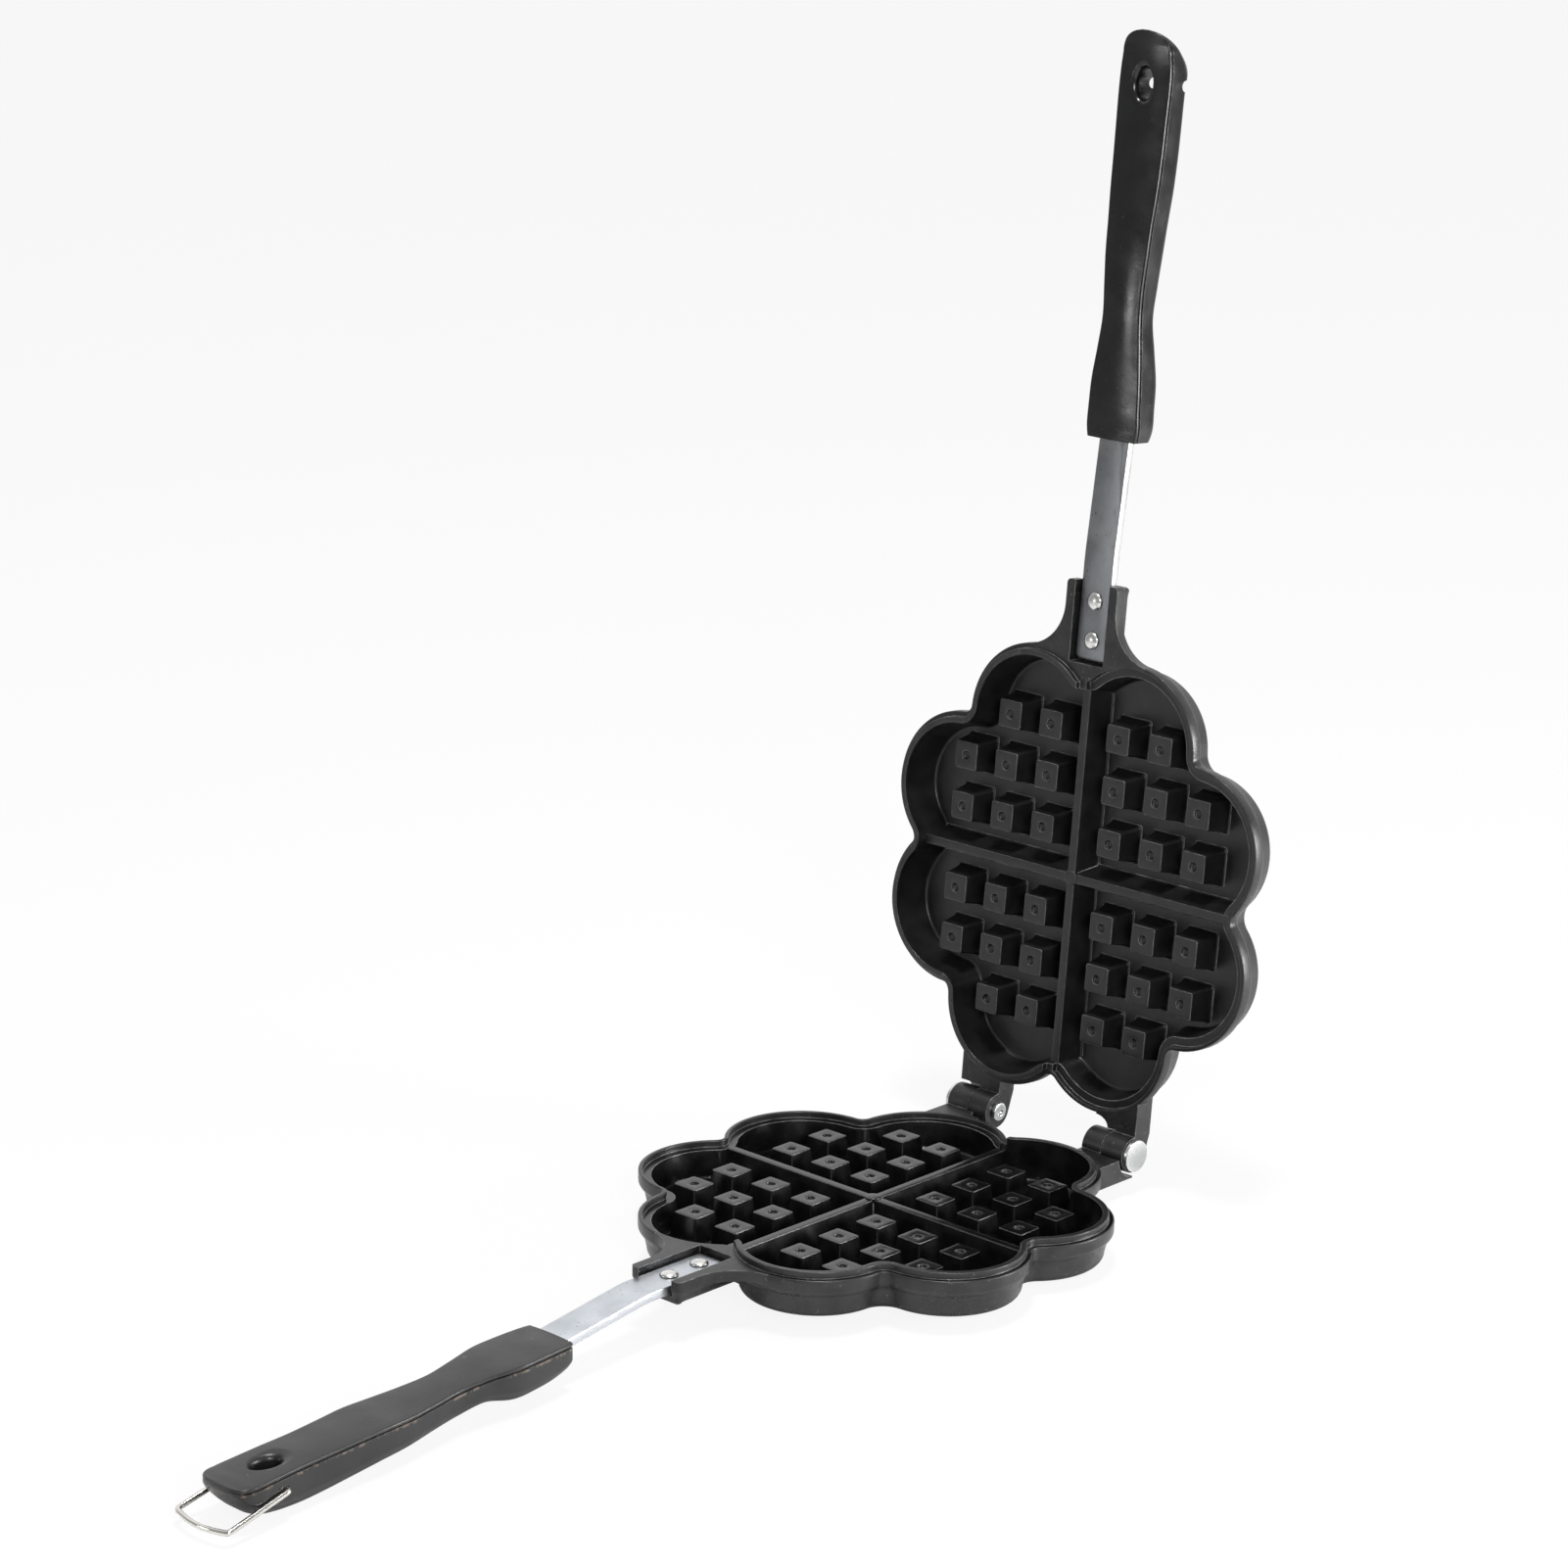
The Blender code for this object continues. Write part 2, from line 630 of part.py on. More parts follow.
def hinge_arm(low, high, relief, cut_corner):
    """Flat arm from the rim to just under the hinge axis, hollowed to clear the other knuckle.
    Where the other knuckle is the inner one, a rounded corner is cut off beside it."""
    plan = [(low, arm_root()), (high, arm_root())]
    if cut_corner:
        shoulder = HINGE_Y - relief
        for step in range(ARM_CUT_STEPS + 1):
            angle = QUARTER * step / ARM_CUT_STEPS
            plan.append((high - ARM_CUT_WIDTH * math.sin(angle), shoulder - ARM_CUT_DEPTH * math.cos(angle)))
        high -= ARM_CUT_WIDTH
    plan += [(high, HINGE_Y), (low, HINGE_Y)]
    arm = loft("arm", [at_depth(plan, z) for z in (-ARM_DEPTH, -LAND_GAP)])
    reach = ARM_OUTER + OVERRUN
    combine(arm, rod("relief", relief, KNUCKLE_SIDES, -reach, reach, (HINGE_Y, 0)), "DIFFERENCE")
    return arm


def knuckle(low, high):
    """Barrel on the hinge axis with the web that carries it on the arm's underside."""
    leave = -QUARTER + WEB_SLOPE
    start = math.pi
    turns = round(KNUCKLE_SIDES * (start - leave) / TURN)
    outline = []
    for i in range(turns + 1):
        angle = start + (leave - start) * i / turns
        outline.append((HINGE_Y + KNUCKLE_RADIUS * math.cos(angle), KNUCKLE_RADIUS * math.sin(angle)))
    run = (ARM_DEPTH + outline[-1][1]) / math.tan(WEB_SLOPE)
    outline.append((outline[-1][0] - run, -ARM_DEPTH))
    outline.append((arm_root(), -ARM_DEPTH))
    outline.append((arm_root(), -LAND_GAP))
    outline.append((outline[0][0], -LAND_GAP))
    outline.pop(0)
    return loft("knuckle", [[(x, y, z) for y, z in outline] for x in (low, high)])


def casting():
    """One plate with its socket, arms and knuckles, in the lower plate's pose."""
    own = (ARM_INNER, KNUCKLE_SPLIT - KNUCKLE_GAP / 2), (-ARM_OUTER, -(KNUCKLE_SPLIT + KNUCKLE_GAP / 2))
    outer_relief = KNUCKLE_RADIUS + OUTER_RELIEF
    inner_relief = KNUCKLE_RADIUS + INNER_RELIEF
    plate = plate_body()
    combine(plate, socket_block(), "UNION")
    combine(plate, hinge_arm(own[0][1], ARM_OUTER, outer_relief, False), "UNION")
    combine(plate, hinge_arm(own[1][1], -ARM_INNER, inner_relief, True), "UNION")
    for low, high in own:
        combine(plate, knuckle(low, high), "UNION")
    combine(plate, lip_band(), "UNION")
    combine(plate, well_cutter(), "DIFFERENCE")
    combine(plate, recess_cutter(), "DIFFERENCE")
    combine(plate, divider("divider_x", True), "UNION")
    combine(plate, divider("divider_y", False), "UNION")
    combine(plate, boss(), "UNION")
    combine(plate, posts(), "UNION")
    combine(plate, channel_cutter(), "DIFFERENCE")
    for distance in RIVET_SPOTS.values():
        combine(plate, rivet_hole(distance, -STRAP_DROP), "DIFFERENCE")
    bore = rod("bore", PIN_RADIUS + PIN_CLEARANCE, PIN_SIDES, -(ARM_OUTER + OVERRUN), ARM_OUTER + OVERRUN,
               (HINGE_Y, 0))
    combine(plate, bore, "DIFFERENCE")
    return plate.data, plate


def strap_path(slope):
    """Places along the strap's top face as pairs of distance from the middle and height."""
    places = []
    for step in range(STRAP_CORNER_STEPS + 1):
        share = 1 - math.cos(QUARTER * step / STRAP_CORNER_STEPS)
        places.append((STRAP_START + STRAP_CORNER * share, -STRAP_DROP))
    bend_start = STRAP_BEND_Y - STRAP_BEND_LENGTH / 2
    radius = STRAP_BEND_LENGTH / slope
    for step in range(STRAP_BEND_STEPS + 1):
        angle = slope * step / STRAP_BEND_STEPS
        places.append((bend_start + radius * math.sin(angle), -STRAP_DROP - radius * (1 - math.cos(angle))))
    last = places[-1]
    places.append((STRAP_END, last[1] - (STRAP_END - last[0]) * math.tan(slope)))
    return places


def strap_height(slope, distance):
    """Height of the strap's top face at a distance beyond its bend."""
    last = strap_path(slope)[-1]
    return last[1] + (last[0] - distance) * math.tan(slope)


def strap(name, slope):
    """Flat bar with rounded inner corners, bent once, with its rivet holes."""
    places = strap_path(slope)
    loops = []
    for index, (distance, height) in enumerate(places):
        half = STRAP_HALF_WIDTH
        if index < STRAP_CORNER_STEPS:
            half -= STRAP_CORNER * (1 - math.sin(QUARTER * index / STRAP_CORNER_STEPS))
        lean = 0 if index <= STRAP_CORNER_STEPS else slope * min(
            (index - STRAP_CORNER_STEPS - 1) / STRAP_BEND_STEPS, 1)
        edge = STRAP_EDGE
        section = [(-half, -edge), (-half + edge, 0), (half - edge, 0), (half, -edge),
                   (half, edge - STRAP_THICKNESS), (half - edge, -STRAP_THICKNESS),
                   (edge - half, -STRAP_THICKNESS), (-half, edge - STRAP_THICKNESS)]
        loops.append([(x, -distance + z * math.sin(lean), height + z * math.cos(lean)) for x, z in section])
    bar = loft(name, loops)
    for distance in RIVET_SPOTS.values():
        combine(bar, rivet_hole(distance, OVERRUN), "DIFFERENCE")
    return bar


def rivet(name):
    """Domed rivet through strap and socket floor, with its seat on the strap at z = 0."""
    rise = SEAT_GAP
    depth = SOCKET_DEPTH - STRAP_DROP + SEAT_GAP
    rings = [(RIVET_BACK_RADIUS - RIVET_BACK_HEIGHT, -(depth + RIVET_BACK_HEIGHT)),
             (RIVET_BACK_RADIUS, -depth), (RIVET_RADIUS, -depth), (RIVET_RADIUS, rise),
             (RIVET_HEAD_RADIUS, rise)]
    for step in range(1, RIVET_HEAD_STEPS):
        angle = QUARTER * step / RIVET_HEAD_STEPS
        rings.append((RIVET_HEAD_RADIUS * math.cos(angle), rise + RIVET_HEAD_HEIGHT * math.sin(angle)))
    phase = math.pi / RIVET_SIDES
    return loft(name, [circle(radius, RIVET_SIDES, z, phase) for radius, z in rings])


def hinge_pin(name, side):
    """Headed pin on the hinge axis: head outboard, hollow tail towards the middle."""
    head = ARM_OUTER + END_GAP
    tail = ARM_INNER - END_GAP
    rings = [(PIN_HEAD_RADIUS - PIN_HEAD_ROUND, head + PIN_HEAD_THICKNESS),
             (PIN_HEAD_RADIUS, head + PIN_HEAD_THICKNESS - PIN_HEAD_ROUND),
             (PIN_HEAD_RADIUS, head), (PIN_RADIUS, head), (PIN_RADIUS, tail), (PIN_TAIL_RADIUS, tail),
             (PIN_TAIL_RADIUS, tail - PIN_TAIL_LENGTH), (PIN_TAIL_HOLLOW, tail - PIN_TAIL_LENGTH),
             (PIN_TAIL_HOLLOW, tail - PIN_TAIL_LENGTH + PIN_TAIL_HOLLOW_DEPTH)]
    phase = math.pi / PIN_SIDES
    loops = [[(side * x, a, b) for a, b, _ in circle(radius, PIN_SIDES, 0, phase)] for radius, x in rings]
    return loft(name, loops)


def blend(rows, place):
    """Smooth curve through rows of shares, read at a place along their first column."""
    last = len(rows) - 2
    index = max(i for i in range(last + 1) if rows[i][0] <= place or i == 0)
    before, start = rows[max(index - 1, 0)], rows[index]
    end, after = rows[index + 1], rows[min(index + 2, last + 1)]
    span = end[0] - start[0]
    t = (place - start[0]) / span
    values = []
    for k in range(1, len(start)):
        slope_in = (end[k] - before[k]) / (end[0] - before[0]) * span
        slope_out = (after[k] - start[k]) / (after[0] - start[0]) * span
        values.append((2 * t ** 3 - 3 * t ** 2 + 1) * start[k] + (t ** 3 - 2 * t ** 2 + t) * slope_in
                      + (3 * t ** 2 - 2 * t ** 3) * end[k] + (t ** 3 - t ** 2) * slope_out)
    return values


def handle_section(half, thickness):
    """Half outline of a handle slice from the middle of its face to the middle of its belly."""
    face = min(HANDLE_FACE_ROUND, half * FACE_ROUND_WIDTH_SHARE, thickness * FACE_ROUND_DEPTH_SHARE)
    across = half * BELLY_WIDTH_SHARE
    deep = thickness * BELLY_DEPTH_SHARE
    points = [(0, 0), (half - face, 0)]
    for step in range(1, FACE_ROUND_STEPS + 1):
        angle = QUARTER * step / FACE_ROUND_STEPS
        points.append((half - face + face * math.sin(angle), -face * (1 - math.cos(angle))))
    for step in range(BELLY_STEPS + 1):
        angle = QUARTER * step / BELLY_STEPS
        points.append((half - across * (1 - math.cos(angle)), -(thickness - deep * (1 - math.sin(angle)))))
    points.append((0, -thickness))
    return points


def handle_places(rows):
    """Slices at every row, with one between where rows lie far apart."""
    places = [row[0] for row in rows]
    middle = [(a + b) / 2 for a, b in zip(places, places[1:]) if b - a > LONGEST_SLICE_SHARE]
    return sorted(places + middle)


def handle(name, rows, length, half_width, thickness, fall):
    """Moulded grip drawn from its strap end at y = 0, with its face at z = 0."""
    loops = []
    for place in handle_places(rows):
        width_share, fall_share, depth_share = blend(rows, place)
        half = half_width * width_share
        drop = fall * fall_share
        outline = handle_section(half, thickness * depth_share)
        outline += [(-x, z) for x, z in reversed(outline[1:-1])]
        loops.append([(x, -length * place, z - drop) for x, z in outline])
    return loft(name, loops)


def cut_strap_slot(grip, slope, start, face):
    """Slot for the tang, a clearance wider all round, open at the strap end only."""
    half = STRAP_HALF_WIDTH + SLOT_CLEARANCE
    end = STRAP_END + STRAP_THICKNESS * math.sin(slope) + SLOT_CLEARANCE
    loops = []
    for distance in (start - OVERRUN, end):
        top = strap_height(slope, distance) + face + SLOT_CLEARANCE
        base = top - STRAP_THICKNESS / math.cos(slope) - 2 * SLOT_CLEARANCE
        y = start - distance
        loops.append([(-half, y, top), (half, y, top), (half, y, base), (-half, y, base)])
    combine(grip, loft("slot", loops), "DIFFERENCE")


def oval(grow, z):
    return [(x * (HOLE_HALF_WIDTH + grow), y * (HOLE_HALF_LENGTH + grow), z)
            for x, y, _ in circle(1, HOLE_SIDES, 0)]


def cut_hang_hole(grip, hole_y, start, rows, length, fall, thickness):
    """Oval hole through the grip, chamfered on its face and its belly."""
    share = blend(rows, (hole_y - start) / length)
    face = -fall * share[1]
    belly = face - thickness * share[2]
    lead = OVERRUN + HOLE_CHAMFER
    loops = [oval(HOLE_CHAMFER + lead, face + lead), oval(0, face - HOLE_CHAMFER),
             oval(0, belly + HOLE_CHAMFER), oval(HOLE_CHAMFER + lead, belly - lead)]
    cutter = loft("hang_hole", loops)
    cutter.location = (0, start - hole_y, 0)
    combine(grip, cutter, "DIFFERENCE")


def lower_handle():
    size = (LOWER_HANDLE_LENGTH, LOWER_HANDLE_HALF_WIDTH, LOWER_HANDLE_THICKNESS, LOWER_HANDLE_FALL)
    grip = handle("lower_handle", LOWER_HANDLE_SHARES, *size)
    cut_strap_slot(grip, LOWER_STRAP_SLOPE, LOWER_HANDLE_START, LOWER_HANDLE_FACE)
    cut_hang_hole(grip, LOWER_HOLE_Y, LOWER_HANDLE_START, LOWER_HANDLE_SHARES, size[0], size[3], size[2])
    spot = (LOWER_HANDLE_START - BAIL_Y, LOWER_HANDLE_FACE - BAIL_DROP)
    inner = BAIL_TIP - BAIL_BORE_CLEARANCE
    outer = LOWER_HANDLE_HALF_WIDTH + OVERRUN
    for low, high in ((inner, outer), (-outer, -inner)):
        bore = rod("bore", BAIL_WIRE_RADIUS + BAIL_BORE_CLEARANCE, BAIL_SIDES, low, high, spot)
        combine(grip, bore, "DIFFERENCE")
    return grip


def notch_cutter():
    """Slot across the grip's back for the bail, with a round floor and a flared mouth."""
    y = UPPER_HANDLE_START - NOTCH_Y
    z = UPPER_HANDLE_FACE - NOTCH_FLOOR - NOTCH_RADIUS
    mouth = -(UPPER_HANDLE_THICKNESS + UPPER_HANDLE_FALL + OVERRUN)
    wide = NOTCH_RADIUS + NOTCH_FLARE
    outer = UPPER_HANDLE_HALF_WIDTH + OVERRUN
    angles = [math.pi * step / NOTCH_STEPS for step in range(NOTCH_STEPS + 1)]
    outline = [(y + NOTCH_RADIUS * math.cos(a), z + NOTCH_RADIUS * math.sin(a)) for a in angles]
    outline += [(y - wide, mouth), (y + wide, mouth)]
    return loft("notch", [[(x, a, b) for a, b in outline] for x in (-outer, outer)])


def upper_handle():
    size = (UPPER_HANDLE_LENGTH, UPPER_HANDLE_HALF_WIDTH, UPPER_HANDLE_THICKNESS, UPPER_HANDLE_FALL)
    grip = handle("upper_handle", UPPER_HANDLE_SHARES, *size)
    cut_strap_slot(grip, UPPER_STRAP_SLOPE, UPPER_HANDLE_START, UPPER_HANDLE_FACE)
    cut_hang_hole(grip, UPPER_HOLE_Y, UPPER_HANDLE_START, UPPER_HANDLE_SHARES, size[0], size[3], size[2])
    combine(grip, notch_cutter(), "DIFFERENCE")
    return grip


def bail_route():
    """Centre line of the wire with its pivot at the origin and its arms along -Y."""
    half = [Vector((BAIL_TIP, 0, 0))]
    knee = Vector((BAIL_HALF_WIDTH, 0, 0))
    shoulder = Vector((BAIL_SPREAD, -BAIL_ARM_LENGTH, 0))
    along = (shoulder - knee).normalized()
    for step in range(BAIL_BEND_STEPS + 1):
        share = step / BAIL_BEND_STEPS
        start = knee - Vector((BAIL_BEND, 0, 0))
        end = knee + along * BAIL_BEND
        half.append(start * (1 - share) ** 2 + knee * 2 * share * (1 - share) + end * share ** 2)
    bar = [Vector((BAIL_SPREAD * (1 - 2 * i / BAIL_BOW_STEPS),
                   -BAIL_ARM_LENGTH - BAIL_BOW * math.sin(math.pi * i / BAIL_BOW_STEPS), 0))
           for i in range(BAIL_BOW_STEPS + 1)]
    across = (bar[1] - bar[0]).normalized()
    for step in range(BAIL_BEND_STEPS + 1):
        share = step / BAIL_BEND_STEPS
        start = shoulder - along * BAIL_BEND
        end = shoulder + across * BAIL_BEND
        half.append(start * (1 - share) ** 2 + shoulder * 2 * share * (1 - share) + end * share ** 2)
    middle = [point for point in bar[1:-1]]
    mirrored = [Vector((-point.x, point.y, point.z)) for point in reversed(half)]
    return half + middle + mirrored


def bail(name):
    """Round wire swept along the bail's centre line in its own plane."""
    route = bail_route()
    loops = []
    for index, point in enumerate(route):
        before = route[max(index - 1, 0)]
        after = route[min(index + 1, len(route) - 1)]
        ahead = (after - before).normalized()
        side = Vector((ahead.y, -ahead.x, 0))
        rise = Vector((0, 0, 1))
        ring = []
        for i in range(BAIL_SIDES):
            angle = TURN * (i + 1 / 2) / BAIL_SIDES
            offset = side * math.cos(angle) + rise * math.sin(angle)
            ring.append(point + offset * BAIL_WIRE_RADIUS)
        loops.append(ring)
    return loft(name, loops)


def seat_lower(item, root, spot):
    item.parent = root
    item.location = spot


def seat_upper(item, hinge, spot):
    """Turn a piece over with its casting and hang it on the hinge."""
    item.parent = hinge
    item.rotation_euler = (0, math.pi, 0)
    item.location = (-spot[0], spot[1] - HINGE_Y, -spot[2])


def add_empty(name):
    empty = bpy.data.objects.new(name, None)
    bpy.context.collection.objects.link(empty)
    return empty


def ground_root(root):
    """Move the whole tool so that its bounding box stands centred on the origin."""
    bpy.context.view_layer.update()
    corners = [item.matrix_world @ vert.co for item in bpy.data.objects if item.type == "MESH"
               for vert in item.data.vertices]
    low = [min(corner[axis] for corner in corners) for axis in range(3)]
    high = [max(corner[axis] for corner in corners) for axis in range(3)]
    root.location = (-(low[0] + high[0]) / 2, -(low[1] + high[1]) / 2, -low[2])
    bpy.context.view_layer.update()


def main():
    clear_scene()
    cast = make_material("nonstick_casting", CAST_LOOK)
    zinc = make_material("zinc_strap", ZINC_LOOK)
    steel = make_material("dark_steel_strap", STEEL_LOOK)
    bright = make_material("rivet_aluminium", RIVET_LOOK)
    pin_metal = make_material("pin_steel", PIN_LOOK)
    wire = make_material("bail_wire", WIRE_LOOK)
    bakelite = make_material("bakelite", BAKELITE_LOOK)

    root = add_empty("tool_root")
    hinge = add_empty("lid_hinge")
    hinge.parent = root
    hinge.location = (0, HINGE_Y, 0)
    hinge.rotation_euler = (-LID_OPEN, 0, 0)

    mesh, lower = casting()
    lower.name = "lower_plate"
    finish(lower, cast)
    seat_lower(lower, root, (0, 0, 0))
    upper = link_mesh("upper_plate", mesh)
    seat_upper(upper, hinge, (0, 0, 0))

    lower_strap = strap("lower_strap", LOWER_STRAP_SLOPE)
    finish(lower_strap, zinc)
    seat_lower(lower_strap, root, (0, 0, 0))
    upper_strap = strap("upper_strap", UPPER_STRAP_SLOPE)
    finish(upper_strap, steel)
    seat_upper(upper_strap, hinge, (0, 0, 0))

    shank = rivet("lower_rivet_inner")
    finish(shank, bright)
    for label, distance in RIVET_SPOTS.items():
        spot = (0, -distance, -STRAP_DROP)
        piece = shank if label == "inner" else link_mesh("lower_rivet_" + label, shank.data)
        seat_lower(piece, root, spot)
        seat_upper(link_mesh("upper_rivet_" + label, shank.data), hinge, spot)

    for label, side in (("right", 1), ("left", -1)):
        pin = hinge_pin("hinge_pin_" + label, side)
        finish(pin, pin_metal)
        seat_lower(pin, root, (0, HINGE_Y, 0))

    grip = lower_handle()
    finish(grip, bakelite)
    seat_lower(grip, root, (0, -LOWER_HANDLE_START, -LOWER_HANDLE_FACE))
    grip = upper_handle()
    finish(grip, bakelite)
    seat_upper(grip, hinge, (0, -UPPER_HANDLE_START, -UPPER_HANDLE_FACE))

    latch = bail("latch_bail")
    finish(latch, wire)
    seat_lower(latch, root, (0, -BAIL_Y, -BAIL_DROP))
    latch.rotation_euler = (-BAIL_REST, 0, 0)

    ground_root(root)


main()
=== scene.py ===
# Looks of the folding waffle mold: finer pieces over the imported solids, materials, light and camera.
# Every piece is drawn as in the solids: parting face at z = 0, hollow side up, handle towards -Y and
# hinge towards +Y. The upper ones are the same shapes turned over and swung open.

import json
import math

import bmesh
import bpy
from mathutils import Matrix, Vector


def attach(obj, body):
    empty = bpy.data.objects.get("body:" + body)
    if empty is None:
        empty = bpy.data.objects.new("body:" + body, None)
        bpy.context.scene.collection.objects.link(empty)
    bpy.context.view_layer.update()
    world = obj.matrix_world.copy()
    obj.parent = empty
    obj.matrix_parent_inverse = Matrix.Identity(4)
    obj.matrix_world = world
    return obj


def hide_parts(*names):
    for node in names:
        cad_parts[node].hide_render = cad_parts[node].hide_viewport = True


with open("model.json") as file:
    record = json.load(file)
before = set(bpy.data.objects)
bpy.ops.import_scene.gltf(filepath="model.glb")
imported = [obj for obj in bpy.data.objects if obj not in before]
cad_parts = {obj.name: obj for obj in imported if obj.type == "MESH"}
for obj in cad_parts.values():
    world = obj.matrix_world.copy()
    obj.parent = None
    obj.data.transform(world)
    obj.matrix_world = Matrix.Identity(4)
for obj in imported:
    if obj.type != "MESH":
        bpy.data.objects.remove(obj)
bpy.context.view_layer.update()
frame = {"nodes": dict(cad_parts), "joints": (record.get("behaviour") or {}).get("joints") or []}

# Plate outline and outside
PLATE_REACH = 0.0770
LOBE_RADIUS = 0.0260
CLEFT_RADIUS = 0.0030
LOBE_COUNT = 8
LOBE_STEPS = 30
CLEFT_STEPS = 12
LAND_GAP = 0.00015
RIM_EASE = 0.0004
FLANGE_DEPTH = 0.0035
STEP_DEPTH = 0.0071
STEP_INSET = 0.0020
FOOT_INSET = 0.0027
FOOT_FILLET = 0.0029
PLATE_DEPTH = 0.0132

# Well and rim
WELL_DEPTH = 0.0110
WELL_INSET = 0.0037
WELL_DRAFT = 0.0019
WELL_FILLET = 0.0010
WELL_EASE = 0.0003
LIP_WIDTH = 0.0020
LIP_HEIGHT = 0.0019
LIP_ROUND = 0.0003
LIP_END = 0.0015
RECESS_DEPTH = 0.0022
RIM_CLEARANCE = 0.0003
RECESS_END = 0.0010

# Posts, dividers and boss
POST_PITCH = 0.0170
POST_START = 0.01377
POST_ROWS = 3
POST_TOP = 0.0090
POST_BASE = 0.0116
POST_DROP = 0.0023
POST_EDGE = 0.00014
POST_CORNER = 0.0007
POST_FOOT = 0.0007
DIMPLE_RADIUS = 0.0016
DIMPLE_DEPTH = 0.0012
DIMPLE_LIP = 0.00015
DIVIDER_TOP = 0.0030
DIVIDER_BASE = 0.0074
DIVIDER_DROP = 0.0021
DIVIDER_EDGE = 0.00022
WALL_BITE = 0.0015
FLOOR_BITE = 0.0005
BOSS_RADIUS = 0.0025
BOSS_RISE = 0.0005

# Strap socket
SOCKET_HALF_WIDTH = 0.0102
SOCKET_END = 0.0962
SOCKET_DEPTH = 0.0074
SOCKET_FLARE = 0.0155
SOCKET_CORNER = 0.0014
SOCKET_DRAFT = 0.0004
SOCKET_ROUND = 0.0020
SOCKET_SHELF = 0.0014
SOCKET_ROOT = 0.0600
HEEL_DEPTH = 0.0008
HEEL_LENGTH = 0.0030
CHANNEL_HALF_WIDTH = 0.0069
CHANNEL_START = 0.0700
FLARE_STEPS = 18

# Hinge
HINGE_Y = 0.0831
ARM_INNER = 0.0203
ARM_OUTER = 0.0367
ARM_ROOT = 0.0600
ARM_DEPTH = 0.0076
ARM_CUT_WIDTH = 0.0050
ARM_CUT_DEPTH = 0.0034
KNUCKLE_RADIUS = 0.0058
KNUCKLE_SPLIT = 0.0282
KNUCKLE_GAP = 0.0004
OUTER_RELIEF = 0.0012
INNER_RELIEF = 0.0004
WEB_SLOPE = math.radians(15)
PIN_RADIUS = 0.0025
PIN_CLEARANCE = 0.0001
PIN_HEAD_RADIUS = 0.00525
PIN_HEAD_THICKNESS = 0.0015
PIN_HEAD_ROUND = 0.0005
PIN_TAIL_RADIUS = 0.0030
PIN_TAIL_LENGTH = 0.0012
PIN_TAIL_HOLLOW = 0.0013
PIN_TAIL_HOLLOW_DEPTH = 0.0006
END_GAP = 0.0002

# Straps and rivets
STRAP_HALF_WIDTH = 0.0059
STRAP_THICKNESS = 0.0029
STRAP_EDGE = 0.0003
STRAP_START = 0.0713
STRAP_DROP = 0.0022
STRAP_CORNER = 0.0015
STRAP_BEND_Y = 0.1040
STRAP_BEND_LENGTH = 0.0060
STRAP_END = 0.1950
LOWER_STRAP_SLOPE = math.radians(8.1)
UPPER_STRAP_SLOPE = math.radians(3.7)
SEAT_GAP = 0.0002
RIVET_SPOTS = {"inner": 0.0774, "outer": 0.0901}
RIVET_RADIUS = 0.0019
RIVET_CLEARANCE = 0.0001
RIVET_HEAD_RADIUS = 0.0029
RIVET_HEAD_HEIGHT = 0.0012
RIVET_BACK_RADIUS = 0.0029
RIVET_BACK_HEIGHT = 0.0007

# Handles
LOWER_HANDLE_START = 0.1386
LOWER_HANDLE_LENGTH = 0.1241
LOWER_HANDLE_HALF_WIDTH = 0.0102
LOWER_HANDLE_THICKNESS = 0.0137
LOWER_HANDLE_FACE = 0.0061
LOWER_HANDLE_FALL = 0.0068
UPPER_HANDLE_START = 0.1417
UPPER_HANDLE_LENGTH = 0.1272
UPPER_HANDLE_HALF_WIDTH = 0.0101
UPPER_HANDLE_THICKNESS = 0.0140
UPPER_HANDLE_FACE = 0.0019
UPPER_HANDLE_FALL = 0.0016
HANDLE_FACE_ROUND = 0.0005
TIP_START = 0.945
TIP_END = 0.12
LOWER_BLUNTNESS = 2.9
UPPER_BLUNTNESS = 2.2
BELLY_WIDTH_SHARE = 0.80
BELLY_DEPTH_SHARE = 0.43
SLOT_CLEARANCE = 0.00025
LOWER_CROWN = 0.0003
UPPER_CROWN = 0.0007
LOWER_GROOVE = 0.0012
UPPER_GROOVE = 0.0018
GROOVE_DEPTH = 0.0008
GROOVE_WIDTH = 0.0006
HOLE_HALF_WIDTH = 0.0046
HOLE_HALF_LENGTH = 0.0065
HOLE_RIM = 0.0021
HOLE_INNER = 0.0015
HOLE_CHAMFER = 0.0006
LOWER_HOLE_Y = 0.2455
UPPER_HOLE_Y = 0.2524
NOTCH_Y = 0.2525
NOTCH_RADIUS = 0.0017
NOTCH_FLARE = 0.0004
NOTCH_FLOOR = 0.0104

LOWER_HANDLE_SHARES = (
    (0.000, 0.90, 0.00, 0.67), (0.013, 0.94, 0.01, 0.73), (0.052, 0.98, 0.02, 0.84),
    (0.108, 1.01, 0.05, 0.90), (0.172, 1.01, 0.10, 0.90), (0.253, 0.83, 0.19, 0.71),
    (0.334, 0.72, 0.34, 0.74), (0.414, 0.80, 0.46, 0.77), (0.495, 0.90, 0.53, 0.84),
    (0.575, 0.94, 0.55, 0.90), (0.656, 0.91, 0.64, 0.95), (0.736, 0.89, 0.73, 0.99),
    (0.817, 0.90, 0.79, 1.00), (0.898, 0.92, 0.88, 0.90), (0.938, 0.93, 0.93, 0.76),
    (0.962, 0.88, 0.94, 0.59), (0.982, 0.76, 0.96, 0.38), (0.995, 0.52, 0.97, 0.18),
    (1.000, 0.26, 1.00, 0.08),
)
